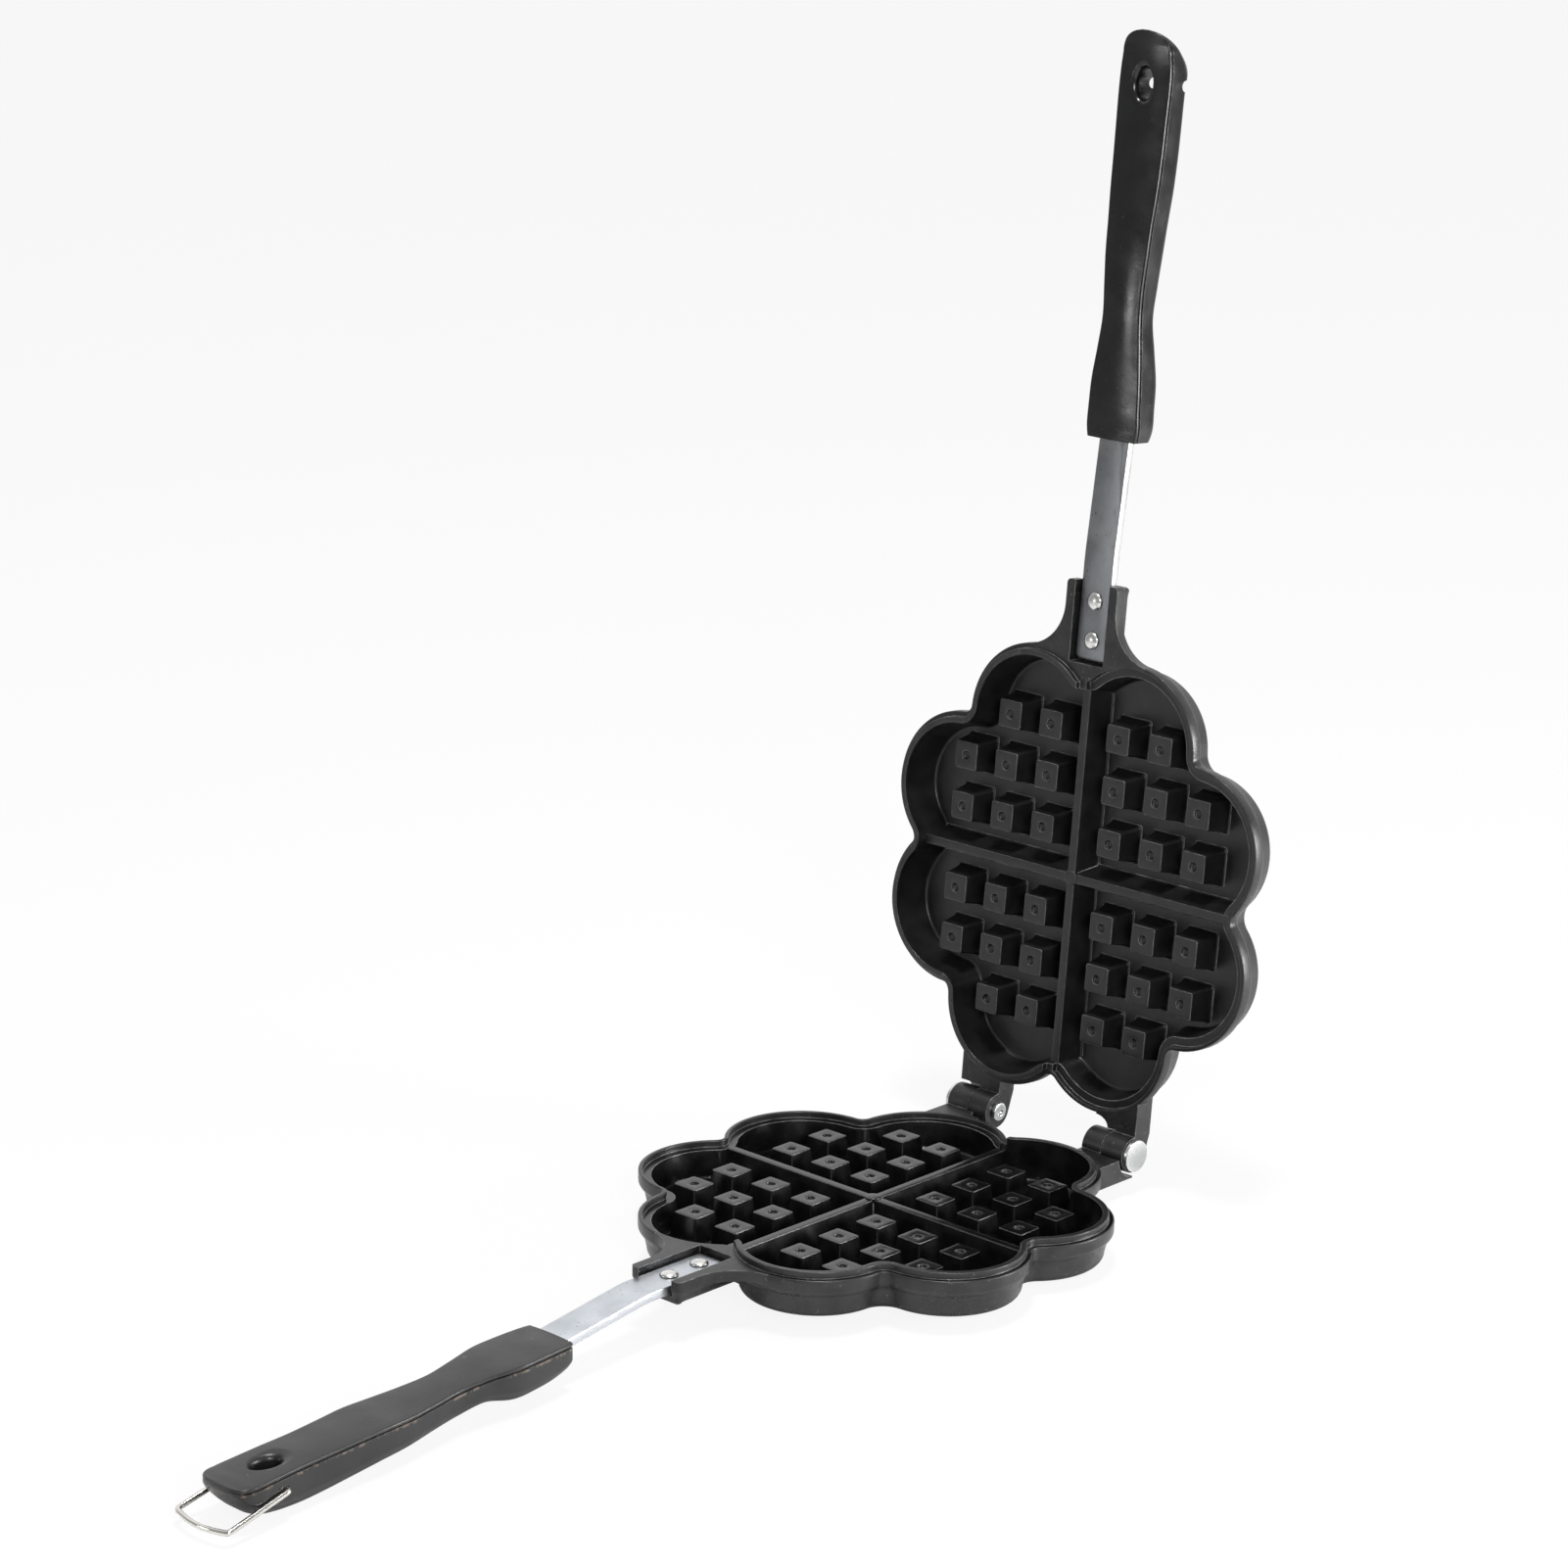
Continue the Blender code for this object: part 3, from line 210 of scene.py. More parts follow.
UPPER_HANDLE_SHARES = (
    (0.000, 0.94, 0.00, 0.85), (0.012, 0.97, -0.03, 0.90), (0.034, 1.00, -0.09, 0.95),
    (0.073, 0.98, -0.22, 0.98), (0.144, 0.94, -0.31, 1.00), (0.222, 0.83, -0.19, 0.90),
    (0.301, 0.73, -0.19, 0.80), (0.380, 0.75, -0.44, 0.89), (0.458, 0.81, -0.41, 0.93),
    (0.537, 0.85, -0.16, 0.96), (0.616, 0.91, 0.19, 0.97), (0.694, 0.94, 0.44, 0.97),
    (0.773, 0.96, 0.56, 0.96), (0.851, 0.98, 0.69, 0.94), (0.903, 0.97, 0.75, 0.98),
    (0.929, 0.94, 0.69, 0.87), (0.956, 0.88, 0.50, 0.62), (0.976, 0.77, 0.25, 0.40),
    (0.993, 0.56, 0.00, 0.19), (1.000, 0.32, -0.13, 0.08),
)

# Latch bail
BAIL_Y = 0.2456
BAIL_DROP = 0.0170
BAIL_WIRE_RADIUS = 0.00085
BAIL_BORE_CLEARANCE = 0.0001
BAIL_HALF_WIDTH = 0.0103
BAIL_SPREAD = 0.0108
BAIL_TIP = 0.0053
BAIL_ARM_LENGTH = 0.0226
BAIL_BOW = 0.0019
BAIL_BEND = 0.0013
BAIL_REST = math.radians(-13.2)

LID_OPEN = math.radians(94.5)

# Light levels of the world: in front of the tool, and as plain light
FRONT_LEVEL = 0.34
DIFFUSE_LEVEL = 0.60
BACKDROP_FACING = (-0.62, 0.71, 0.33)
FLOOR_GLOW = 0.89
FLOOR_REACH = 3.0
FLOOR_GAP = 0.0001

# Camera as solved from the photograph, in the lower plate's own axes
CAMERA_LENS = 97.574
CAMERA_SPOT = (0.822167, -0.926553, 0.479053)
CAMERA_TURNS = ((42.972, "Z"), (74.302, "X"), (1.026, "Z"))

OVERRUN = 0.0010
SHARP_ANGLE = math.radians(38)
TURN = 2 * math.pi
QUARTER = math.pi / 2

# Where the drawn pieces go: the lower ones by the hinge's place, the upper ones through the open hinge
hinge_spot = Vector(next(j["pos_m"] for j in frame["joints"] if j["name"] == "lid_hinge"))
ROOT = Matrix.Translation(hinge_spot - Vector((0, HINGE_Y, 0)))
LID = (Matrix.Translation(hinge_spot) @ Matrix.Rotation(-LID_OPEN, 4, "X")
       @ Matrix.Translation((0, -HINGE_Y, 0)) @ Matrix.Rotation(math.pi, 4, "Y"))


# Mesh helpers
def link_mesh(name, mesh):
    item = bpy.data.objects.new(name, mesh)
    bpy.context.scene.collection.objects.link(item)
    return item


def solid_from(name, build):
    bm = bmesh.new()
    build(bm)
    bmesh.ops.recalc_face_normals(bm, faces=bm.faces)
    mesh = bpy.data.meshes.new(name)
    bm.to_mesh(mesh)
    bm.free()
    return link_mesh(name, mesh)


def loft_into(bm, loops, caps=True, closed=False):
    rings = [[bm.verts.new(point) for point in loop] for loop in loops]
    count = len(rings[0])
    for lower, upper in zip(rings, rings[1:] + (rings[:1] if closed else [])):
        for i in range(count):
            j = (i + 1) % count
            bm.faces.new((lower[i], lower[j], upper[j], upper[i]))
    if caps:
        bm.faces.new(list(reversed(rings[0])))
        bm.faces.new(rings[-1])
    return rings


def loft(name, loops):
    return solid_from(name, lambda bm: loft_into(bm, loops))


def block(name, low, high):
    corners = [(low[0], low[1]), (high[0], low[1]), (high[0], high[1]), (low[0], high[1])]
    return loft(name, [[(x, y, z) for x, y in corners] for z in (low[2], high[2])])


def combine(target, tool, operation):
    change = target.modifiers.new("change", "BOOLEAN")
    change.operation = operation
    change.solver = "EXACT"
    change.object = tool
    bpy.context.view_layer.update()
    graph = bpy.context.evaluated_depsgraph_get()
    mesh = bpy.data.meshes.new_from_object(target.evaluated_get(graph))
    target.modifiers.clear()
    target.data = mesh
    bpy.data.objects.remove(tool, do_unlink=True)


def clip(item, place, keep):
    bm = bmesh.new()
    bm.from_mesh(item.data)
    everything = list(bm.verts) + list(bm.edges) + list(bm.faces)
    bmesh.ops.bisect_plane(bm, geom=everything, plane_co=(place, 0, 0), plane_no=(keep, 0, 0),
                           clear_inner=True)
    rim = [edge for edge in bm.edges if edge.is_boundary]
    bmesh.ops.holes_fill(bm, edges=rim, sides=0)
    bmesh.ops.recalc_face_normals(bm, faces=bm.faces)
    bm.to_mesh(item.data)
    bm.free()


def smooth(item, *materials, angle=SHARP_ANGLE):
    item.data.materials.clear()
    for material in materials:
        item.data.materials.append(material)
    item.data.shade_smooth()
    item.data.set_sharp_from_angle(angle=angle)


def place(item, where, body, slot, *nodes):
    """Move a drawn piece's points to their place, let it ride on its body and stand for its nodes."""
    item.data.transform(where)
    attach(item, body)
    if nodes:
        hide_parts(*nodes)
    return item


def polar(centre, radius, angle):
    return (centre[0] + radius * math.cos(angle), centre[1] + radius * math.sin(angle))


def circle(radius, sides, z, phase=0.0):
    return [(radius * math.cos(TURN * i / sides + phase), radius * math.sin(TURN * i / sides + phase), z)
            for i in range(sides)]


def rod(name, radius, sides, low, high, spot):
    loops = [[(x, spot[0] + a, spot[1] + b) for a, b, _ in circle(radius, sides, 0)] for x in (low, high)]
    return loft(name, loops)


def arc(steps, start=0.0, end=QUARTER):
    return [start + (end - start) * i / steps for i in range(steps + 1)]


# Plate
def flower_shape():
    centre_reach = PLATE_REACH - LOBE_RADIUS
    half = math.pi / LOBE_COUNT
    join = LOBE_RADIUS + CLEFT_RADIUS
    cleft_reach = centre_reach * math.cos(half) + math.sqrt(join ** 2 - (centre_reach * math.sin(half)) ** 2)
    spread = math.atan2(cleft_reach * math.sin(half), cleft_reach * math.cos(half) - centre_reach)
    return centre_reach, cleft_reach, half, spread


def flower(inset):
    centre_reach, cleft_reach, half, spread = flower_shape()
    points = []
    for lobe in range(LOBE_COUNT):
        facing = half + lobe * 2 * half
        centre = polar((0, 0), centre_reach, facing)
        for step in range(LOBE_STEPS + 1):
            angle = facing + spread * (2 * step / LOBE_STEPS - 1)
            points.append(polar(centre, LOBE_RADIUS - inset, angle))
        pit = polar((0, 0), cleft_reach, facing + half)
        opening = spread - half
        for step in range(1, CLEFT_STEPS):
            angle = facing + half + math.pi + opening * (1 - 2 * step / CLEFT_STEPS)
            points.append(polar(pit, CLEFT_RADIUS + inset, angle))
    return points


def rim_inset(x, y):
    """How far a place lies inside the plate's outline."""
    centre_reach, cleft_reach, half, spread = flower_shape()
    angle = math.atan2(y, x) % TURN
    facing = half + 2 * half * (int(angle / (2 * half)) % LOBE_COUNT)
    centre = polar((0, 0), centre_reach, facing)
    turn = (math.atan2(y - centre[1], x - centre[0]) - facing + math.pi) % TURN - math.pi
    if abs(turn) <= spread:
        return LOBE_RADIUS - math.hypot(x - centre[0], y - centre[1])
    pit = polar((0, 0), cleft_reach, facing + math.copysign(half, turn))
    return math.hypot(x - pit[0], y - pit[1]) - CLEFT_RADIUS


def at_depth(plan, z):
    return [(x, y, z) for x, y in plan]


def flange_step(steps=10):
    rings = []
    for step in range(steps + 1):
        share = step / steps
        swell = (1 - math.cos(math.pi * share)) / 2
        rings.append((STEP_INSET * swell, FLANGE_DEPTH + (STEP_DEPTH - FLANGE_DEPTH) * share))
    return rings


def plate_body():
    rings = [(RIM_EASE * (1 - math.sin(a)), LAND_GAP + RIM_EASE * (1 - math.cos(a))) for a in arc(3)]
    rings += flange_step()
    for angle in arc(8):
        rings.append((FOOT_INSET + FOOT_FILLET * (1 - math.cos(angle)),
                      PLATE_DEPTH - FOOT_FILLET * (1 - math.sin(angle))))
    return loft("plate", [at_depth(flower(inset), -depth) for inset, depth in rings])


def lip_band():
    outer = WELL_INSET - LIP_WIDTH
    section = [(outer, -OVERRUN)]
    section += [(outer + LIP_ROUND * (1 - math.cos(a)), LIP_HEIGHT - LIP_ROUND * (1 - math.sin(a)))
                for a in arc(5)]
    section += [(WELL_INSET + OVERRUN, LIP_HEIGHT), (WELL_INSET + OVERRUN, -OVERRUN)]
    loops = [at_depth(flower(inset), z) for inset, z in section]
    band = solid_from("lip", lambda bm: loft_into(bm, loops, caps=False, closed=True))
    clip(band, LIP_END, 1)
    return band


def well_cutter():
    lead = LIP_HEIGHT + OVERRUN
    low_inset = WELL_INSET + WELL_DRAFT
    rings = [(WELL_INSET - LIP_ROUND, lead)]
    rings += [(WELL_INSET - LIP_ROUND * (1 - math.sin(a)), LIP_HEIGHT - LIP_ROUND * (1 - math.cos(a)))
              for a in arc(5)]
    rings.append((WELL_INSET, -LAND_GAP))
    rings += [(low_inset + WELL_FILLET * (1 - math.cos(a)), -(WELL_DEPTH - WELL_FILLET * (1 - math.sin(a))))
              for a in arc(5)]
    return loft("well", [at_depth(flower(inset), z) for inset, z in rings])


def recess_cutter():
    inset = WELL_INSET - LIP_WIDTH - RIM_CLEARANCE
    ease = WELL_EASE
    rings = [(inset - ease, OVERRUN), (inset - ease, -LAND_GAP)]
    rings += [(inset - ease * (1 - math.sin(a)), -LAND_GAP - ease * (1 - math.cos(a))) for a in arc(3)[1:]]
    rings.append((inset, -RECESS_DEPTH))
    cutter = loft("recess", [at_depth(flower(i), z) for i, z in rings])
    clip(cutter, -RECESS_END, -1)
    return cutter


def socket_plan(inset, flared):
    centre_reach = PLATE_REACH - LOBE_RADIUS
    lobe = polar((0, 0), centre_reach, -QUARTER + math.pi / LOBE_COUNT)
    flare_x = SOCKET_HALF_WIDTH + SOCKET_FLARE
    join = LOBE_RADIUS + SOCKET_FLARE + inset
    flare = (flare_x, lobe[1] - math.sqrt(join ** 2 - (flare_x - lobe[0]) ** 2))
    last = math.atan2(lobe[1] - flare[1], lobe[0] - flare[0])
    half = [(0, -(SOCKET_END - inset))]
    side = SOCKET_HALF_WIDTH - inset
    corner = (side - SOCKET_CORNER, -(SOCKET_END - inset - SOCKET_CORNER))
    for angle in arc(6, -QUARTER, 0):
        half.append(polar(corner, SOCKET_CORNER, angle))
    for share in (0.25, 0.5, 0.75):
        half.append((side, corner[1] + (flare[1] - corner[1]) * share))
    for angle in arc(FLARE_STEPS, math.pi, last):
        x, y = polar(flare, SOCKET_FLARE + inset, angle)
        half.append((side + (x - side) * flared, y))
    half.append((half[-1][0], -SOCKET_ROOT))
    return half + [(-x, y) for x, y in reversed(half[1:])]


def heel_depth(y):
    share = (-y - (SOCKET_END - HEEL_LENGTH)) / (HEEL_LENGTH - SOCKET_ROUND / 2)
    share = min(max(share, 0), 1)
    return HEEL_DEPTH * (1 - math.cos(math.pi * share)) / 2


def socket_block():
    rings = [at_depth(socket_plan(0, 1), -LAND_GAP)]
    for i in range(11):
        share = i / 10
        flared = (1 + math.cos(math.pi * share)) / 2
        rings.append(at_depth(socket_plan(SOCKET_DRAFT * share, flared), -(FLANGE_DEPTH + SOCKET_SHELF * share)))
    for angle in arc(7):
        inset = SOCKET_DRAFT + SOCKET_ROUND * (1 - math.cos(angle))
        depth = SOCKET_DEPTH - SOCKET_ROUND * (1 - math.sin(angle))
        rings.append([(x, y, -depth - heel_depth(y)) for x, y in socket_plan(inset, 0)])

    def build(bm):
        loops = loft_into(bm, rings, caps=False)
        bm.faces.new(loops[0])
        base = loops[-1]
        bm.faces.new((base[0], base[1], base[2], base[-2], base[-1]))
        for i in range(2, len(base) // 2):
            bm.faces.new((base[i], base[i + 1], base[-i - 1], base[-i]))
    return solid_from("socket", build)


def rivet_hole(distance, top):
    hole = loft("hole", [circle(RIVET_RADIUS + RIVET_CLEARANCE, 32, z)
                         for z in (-(SOCKET_DEPTH + HEEL_DEPTH + OVERRUN), top)])
    hole.location = (0, -distance, 0)
    return hole


def hinge_arm(low, high, relief, cut_corner):
    plan = [(low, ARM_ROOT), (high, ARM_ROOT)]
    if cut_corner:
        shoulder = HINGE_Y - relief
        for angle in arc(8):
            plan.append((high - ARM_CUT_WIDTH * math.sin(angle), shoulder - ARM_CUT_DEPTH * math.cos(angle)))
        high -= ARM_CUT_WIDTH
    plan += [(high, HINGE_Y), (low, HINGE_Y)]
    arm = loft("arm", [at_depth(plan, z) for z in (-ARM_DEPTH, -LAND_GAP)])
    reach = ARM_OUTER + OVERRUN
    combine(arm, rod("relief", relief, 64, -reach, reach, (HINGE_Y, 0)), "DIFFERENCE")
    return arm


def knuckle(low, high):
    leave = -QUARTER + WEB_SLOPE
    outline = [(HINGE_Y + KNUCKLE_RADIUS * math.cos(a), KNUCKLE_RADIUS * math.sin(a))
               for a in arc(40, math.pi, leave)]
    run = (ARM_DEPTH + outline[-1][1]) / math.tan(WEB_SLOPE)
    outline.append((outline[-1][0] - run, -ARM_DEPTH))
    outline += [(ARM_ROOT, -ARM_DEPTH), (ARM_ROOT, -LAND_GAP), (outline[0][0], -LAND_GAP)]
    outline.pop(0)
    return loft("knuckle", [[(x, y, z) for y, z in outline] for x in (low, high)])


def casting():
    own = (ARM_INNER, KNUCKLE_SPLIT - KNUCKLE_GAP / 2), (-ARM_OUTER, -(KNUCKLE_SPLIT + KNUCKLE_GAP / 2))
    plate = plate_body()
    combine(plate, socket_block(), "UNION")
    combine(plate, hinge_arm(own[0][1], ARM_OUTER, KNUCKLE_RADIUS + OUTER_RELIEF, False), "UNION")
    combine(plate, hinge_arm(own[1][1], -ARM_INNER, KNUCKLE_RADIUS + INNER_RELIEF, True), "UNION")
    for low, high in own:
        combine(plate, knuckle(low, high), "UNION")
    combine(plate, lip_band(), "UNION")
    combine(plate, well_cutter(), "DIFFERENCE")
    combine(plate, recess_cutter(), "DIFFERENCE")
    floor = STRAP_DROP + STRAP_THICKNESS + SEAT_GAP
    combine(plate, block("channel", (-CHANNEL_HALF_WIDTH, -(SOCKET_END + OVERRUN), -floor),
                         (CHANNEL_HALF_WIDTH, -CHANNEL_START, OVERRUN)), "DIFFERENCE")
    for distance in RIVET_SPOTS.values():
        combine(plate, rivet_hole(distance, -STRAP_DROP), "DIFFERENCE")
    reach = ARM_OUTER + OVERRUN
    combine(plate, rod("bore", PIN_RADIUS + PIN_CLEARANCE, 48, -reach, reach, (HINGE_Y, 0)), "DIFFERENCE")
    return plate


def paint_inside(plate):
    """Give the well's faces the second material."""
    for face in plate.data.polygons:
        x, y, z = face.center
        if z < LIP_HEIGHT - LIP_ROUND and rim_inset(x, y) > WELL_INSET - WELL_EASE and face.normal.z > -0.2 \
                and z > -WELL_DEPTH - FLOOR_BITE and rim_inset(x, y) > 0:
            face.material_index = 1


def post_places():
    places = []
    for row in range(POST_ROWS):
        for column in range(POST_ROWS):
            if row + column == 2 * (POST_ROWS - 1):
                continue
            x = POST_START + POST_PITCH * row
            y = POST_START + POST_PITCH * column
            places += [(x, y), (-x, y), (-x, -y), (x, -y)]
    return places


def rounded_square(half, corner, z, steps=6):
    """Square with round corners, as many points as the dimple's rings have."""
    points = []
    for quarter in range(4):
        facing = QUARTER * quarter
        c, s = math.cos(facing), math.sin(facing)
        local = []
        for angle in arc(steps):
            local.append((half - corner + corner * math.cos(angle), half - corner + corner * math.sin(angle)))
        local.append((0, half))
        for x, y in local:
            points.append((x * c - y * s, x * s + y * c, z))
    return points


def posts():
    def build(bm):
        steps = 6
        base_z = -(WELL_DEPTH + FLOOR_BITE)
        rings = [(POST_BASE / 2 + POST_FOOT, POST_CORNER * 1.8, -WELL_DEPTH - 0.0002)]
        rings += [(POST_BASE / 2 + POST_FOOT * (1 - math.sin(a)), POST_CORNER * 1.6,
                   -WELL_DEPTH + POST_FOOT * (1 - math.cos(a))) for a in arc(4)]
        top_half = POST_TOP / 2
        rings += [(top_half - POST_EDGE * (1 - math.cos(a)), POST_CORNER - 0.5 * POST_EDGE * (1 - math.cos(a)),
                   -POST_DROP - POST_EDGE * (1 - math.sin(a))) for a in arc(5)]
        square = [rounded_square(half, corner, z, steps) for half, corner, z in rings]
        mouth = []
        for angle in arc(4):
            mouth.append((DIMPLE_RADIUS + DIMPLE_LIP * (1 - math.sin(angle)),
                          -POST_DROP - DIMPLE_LIP * (1 - math.cos(angle))))
        for angle in arc(6)[1:]:
            mouth.append((DIMPLE_RADIUS * math.cos(angle) + 0.0002 * math.sin(angle),
                          -POST_DROP - DIMPLE_LIP - (DIMPLE_DEPTH - DIMPLE_LIP) * math.sin(angle)))
        angles = [math.atan2(y, x) for x, y, _ in square[-1]]
        for x, y in post_places():
            loops = [[(x + a, y + b, c) for a, b, c in ring] for ring in square]
            for radius, z in mouth:
                loops.append([(x + radius * math.cos(t), y + radius * math.sin(t), z) for t in angles])
            loft_into(bm, loops)
    return solid_from("posts", build)


def cleft_distance(inset):
    _, cleft_reach, _, _ = flower_shape()
    return cleft_reach - CLEFT_RADIUS - inset


def dividers():
    def build(bm):
        top_reach = cleft_distance(WELL_INSET) + WALL_BITE
        base_reach = cleft_distance(WELL_INSET + WELL_DRAFT + WELL_FILLET) + WALL_BITE
        section = [(DIVIDER_BASE / 2 + POST_FOOT, -WELL_DEPTH - 0.0002)]
        section += [(DIVIDER_BASE / 2 + POST_FOOT * (1 - math.sin(a)) - POST_FOOT * 0.3 * math.sin(a),
                     -WELL_DEPTH + POST_FOOT * (1 - math.cos(a))) for a in arc(4)]
        section += [(DIVIDER_TOP / 2 - DIVIDER_EDGE * (1 - math.cos(a)),
                     -DIVIDER_DROP - DIVIDER_EDGE * (1 - math.sin(a))) for a in arc(5)]
        full = section + [(-y, z) for y, z in reversed(section)]
        for along_x in (True, False):
            loops = []
            for share in [i / 40 * 2 - 1 for i in range(41)]:
                loop = []
                for y, z in full:
                    deep = (-z - DIVIDER_DROP) / (WELL_DEPTH - DIVIDER_DROP)
                    reach = top_reach + (base_reach - top_reach) * min(max(deep, 0), 1)
                    x = reach * share
                    rise = 0.0001 if along_x else 0.0
                    loop.append((x, y, z + rise) if along_x else (y, -x, z))
                loops.append(loop)
            loft_into(bm, loops)
    return solid_from("dividers", build)


def boss():
    top = -(DIVIDER_DROP - BOSS_RISE)
    ease = BOSS_RISE * 0.4
    loops = [circle(BOSS_RADIUS, 48, -WELL_DEPTH)]
    loops += [circle(BOSS_RADIUS - ease * (1 - math.cos(a)), 48, top - ease * (1 - math.sin(a))) for a in arc(4)]
    return loft("boss", loops)


# Straps, rivets and pins
def strap_path(slope, steps=8):
    places = []
    for step in range(steps + 1):
        share = 1 - math.cos(QUARTER * step / steps)
        half = STRAP_HALF_WIDTH - STRAP_CORNER * (1 - math.sin(QUARTER * step / steps))
        places.append((STRAP_START + STRAP_CORNER * share, -STRAP_DROP, half, 0))
    bend_start = STRAP_BEND_Y - STRAP_BEND_LENGTH / 2
    radius = STRAP_BEND_LENGTH / slope
    for step in range(steps + 1):
        angle = slope * step / steps
        places.append((bend_start + radius * math.sin(angle), -STRAP_DROP - radius * (1 - math.cos(angle)),
                       STRAP_HALF_WIDTH, angle))
    last = places[-1]
    places.append((STRAP_END, last[1] - (STRAP_END - last[0]) * math.tan(slope), STRAP_HALF_WIDTH, slope))
    return places


def strap_height(slope, distance):
    last = strap_path(slope)[-1]
    return last[1] + (last[0] - distance) * math.tan(slope)


def strap(name, slope):
    loops = []
    for distance, height, half, lean in strap_path(slope):
        edge = STRAP_EDGE
        quarter = [(half - edge * (1 - math.cos(a)), -edge * (1 - math.sin(a))) for a in arc(3)]
        section = quarter + [(-x, z) for x, z in reversed(quarter)]
        section += [(x, -STRAP_THICKNESS - z) for x, z in reversed(section)]
        loops.append([(x, -distance + z * math.sin(lean), height + z * math.cos(lean)) for x, z in section])
    bar = loft(name, loops)
    for distance in RIVET_SPOTS.values():
        combine(bar, rivet_hole(distance, OVERRUN), "DIFFERENCE")
    return bar


def rivet(name):
    rise = SEAT_GAP
    depth = SOCKET_DEPTH - STRAP_DROP + SEAT_GAP
    rings = [(0.0002, -(depth + RIVET_BACK_HEIGHT))]
    rings += [(RIVET_BACK_RADIUS - RIVET_BACK_HEIGHT * (1 - math.sin(a)),
               -(depth + RIVET_BACK_HEIGHT * math.cos(a))) for a in arc(5)]
    rings += [(RIVET_RADIUS, -depth), (RIVET_RADIUS, rise), (RIVET_HEAD_RADIUS, rise)]
    for angle in arc(12)[1:-1]:
        rings.append((RIVET_HEAD_RADIUS * math.cos(angle), rise + RIVET_HEAD_HEIGHT * math.sin(angle)))
    rings.append((0.0001, rise + RIVET_HEAD_HEIGHT))
    return loft(name, [circle(radius, 48, z) for radius, z in rings])


def hinge_pin(name, side):
    head = ARM_OUTER + END_GAP
    tail = ARM_INNER - END_GAP
    end = tail - PIN_TAIL_LENGTH
    top = head + PIN_HEAD_THICKNESS
    rings = [(0.0001, top)]
    rings += [(PIN_HEAD_RADIUS - PIN_HEAD_ROUND * (1 - math.sin(a)), top - PIN_HEAD_ROUND * (1 - math.cos(a)))
              for a in arc(5)]
    rings += [(PIN_HEAD_RADIUS, head), (PIN_RADIUS, head), (PIN_RADIUS, tail), (PIN_TAIL_RADIUS, tail)]
    rings += [(PIN_TAIL_RADIUS - 0.0003 * (1 - math.cos(a)), end + 0.0003 * (1 - math.sin(a)))
              for a in arc(3)]
    rings += [(PIN_TAIL_HOLLOW + 0.0002 * (1 - math.sin(a)), end + 0.0002 * (1 - math.cos(a)))
              for a in arc(3)]
    rings.append((PIN_TAIL_HOLLOW, end + PIN_TAIL_HOLLOW_DEPTH))
    loops = [[(side * x, a, b) for a, b, _ in circle(radius, 48, 0)] for radius, x in rings]
    return loft(name, loops)


# Handles
def blend_shares(rows, spot):
    last = len(rows) - 2
    index = max(i for i in range(last + 1) if rows[i][0] <= spot or i == 0)
    before, start = rows[max(index - 1, 0)], rows[index]
    end, after = rows[index + 1], rows[min(index + 2, last + 1)]
    span = end[0] - start[0]
    t = (spot - start[0]) / span
    values = []
    for k in range(1, len(start)):
        slope_in = (end[k] - before[k]) / (end[0] - before[0]) * span
        slope_out = (after[k] - start[k]) / (after[0] - start[0]) * span
        values.append((2 * t ** 3 - 3 * t ** 2 + 1) * start[k] + (t ** 3 - 2 * t ** 2 + t) * slope_in
                      + (3 * t ** 2 - 2 * t ** 3) * end[k] + (t ** 3 - t ** 2) * slope_out)
    return values


def handle_section(half, thickness, crown, groove):
    """Half outline of a slice: a crowned face with rounded edge, a groove under it and a round belly."""
    face = min(HANDLE_FACE_ROUND, half * 0.33, thickness * 0.25)
    across = half * BELLY_WIDTH_SHARE
    deep = thickness * BELLY_DEPTH_SHARE
    room = thickness - deep - face
    full = min(1.0, room / (2 * groove))
    lift = crown * full
    bead = face + lift + max(groove - HANDLE_FACE_ROUND - crown, 0.0002) * full
    wide = GROOVE_WIDTH * full
    inward = GROOVE_DEPTH * full
    flat = half - face
    points = [(flat * share, -lift * share ** 2) for share in (0, 0.2, 0.4, 0.6, 0.8)]
    points += [(flat + face * math.sin(a), -lift - face * (1 - math.cos(a))) for a in arc(6)]
    points += [(half, -bead), (half - inward * 0.9, -(bead + wide * 0.15)), (half - inward, -(bead + wide * 0.5)),
               (half - inward * 0.9, -(bead + wide * 0.85)), (half - 0.05 * inward, -(bead + wide))]
    start = max(thickness - deep, bead + wide * 1.2)
    points += [(half - across * (1 - math.cos(a)), -(start + (thickness - start) * math.sin(a)))
               for a in arc(14)]
    points.append((0, -thickness))
    return points


def handle_places(rows):
    """Slice places: even along the grip, closer and closer on its last stretch, where the tip rounds off."""
    places = []
    for a, b in zip(rows, rows[1:]):
        count = max(1, round((b[0] - a[0]) / (0.008 if b[0] < 0.9 else 0.003)))
        places += [a[0] + (b[0] - a[0]) * i / count for i in range(count)]
    return places + [rows[-1][0]]


def note_depth(grip, rows, length, fall, hole_spot):
    """Keep, at every point, how deep it lies below the face there, and a value below zero in the hang hole."""
    depth = grip.data.attributes.new("face_depth", "FLOAT", "POINT")
    for vert, value in zip(grip.data.vertices, depth.data):
        spot = min(max(-vert.co.y / length, 0.0), 1.0)
        value.value = -vert.co.z - fall * blend_shares(rows, min(spot, 0.9999))[1]
        across = abs(vert.co.x) < HOLE_HALF_WIDTH + HOLE_RIM
        if across and abs(vert.co.y - hole_spot) < HOLE_HALF_LENGTH + HOLE_RIM:
            value.value = -OVERRUN if value.value > HANDLE_FACE_ROUND else 0.0


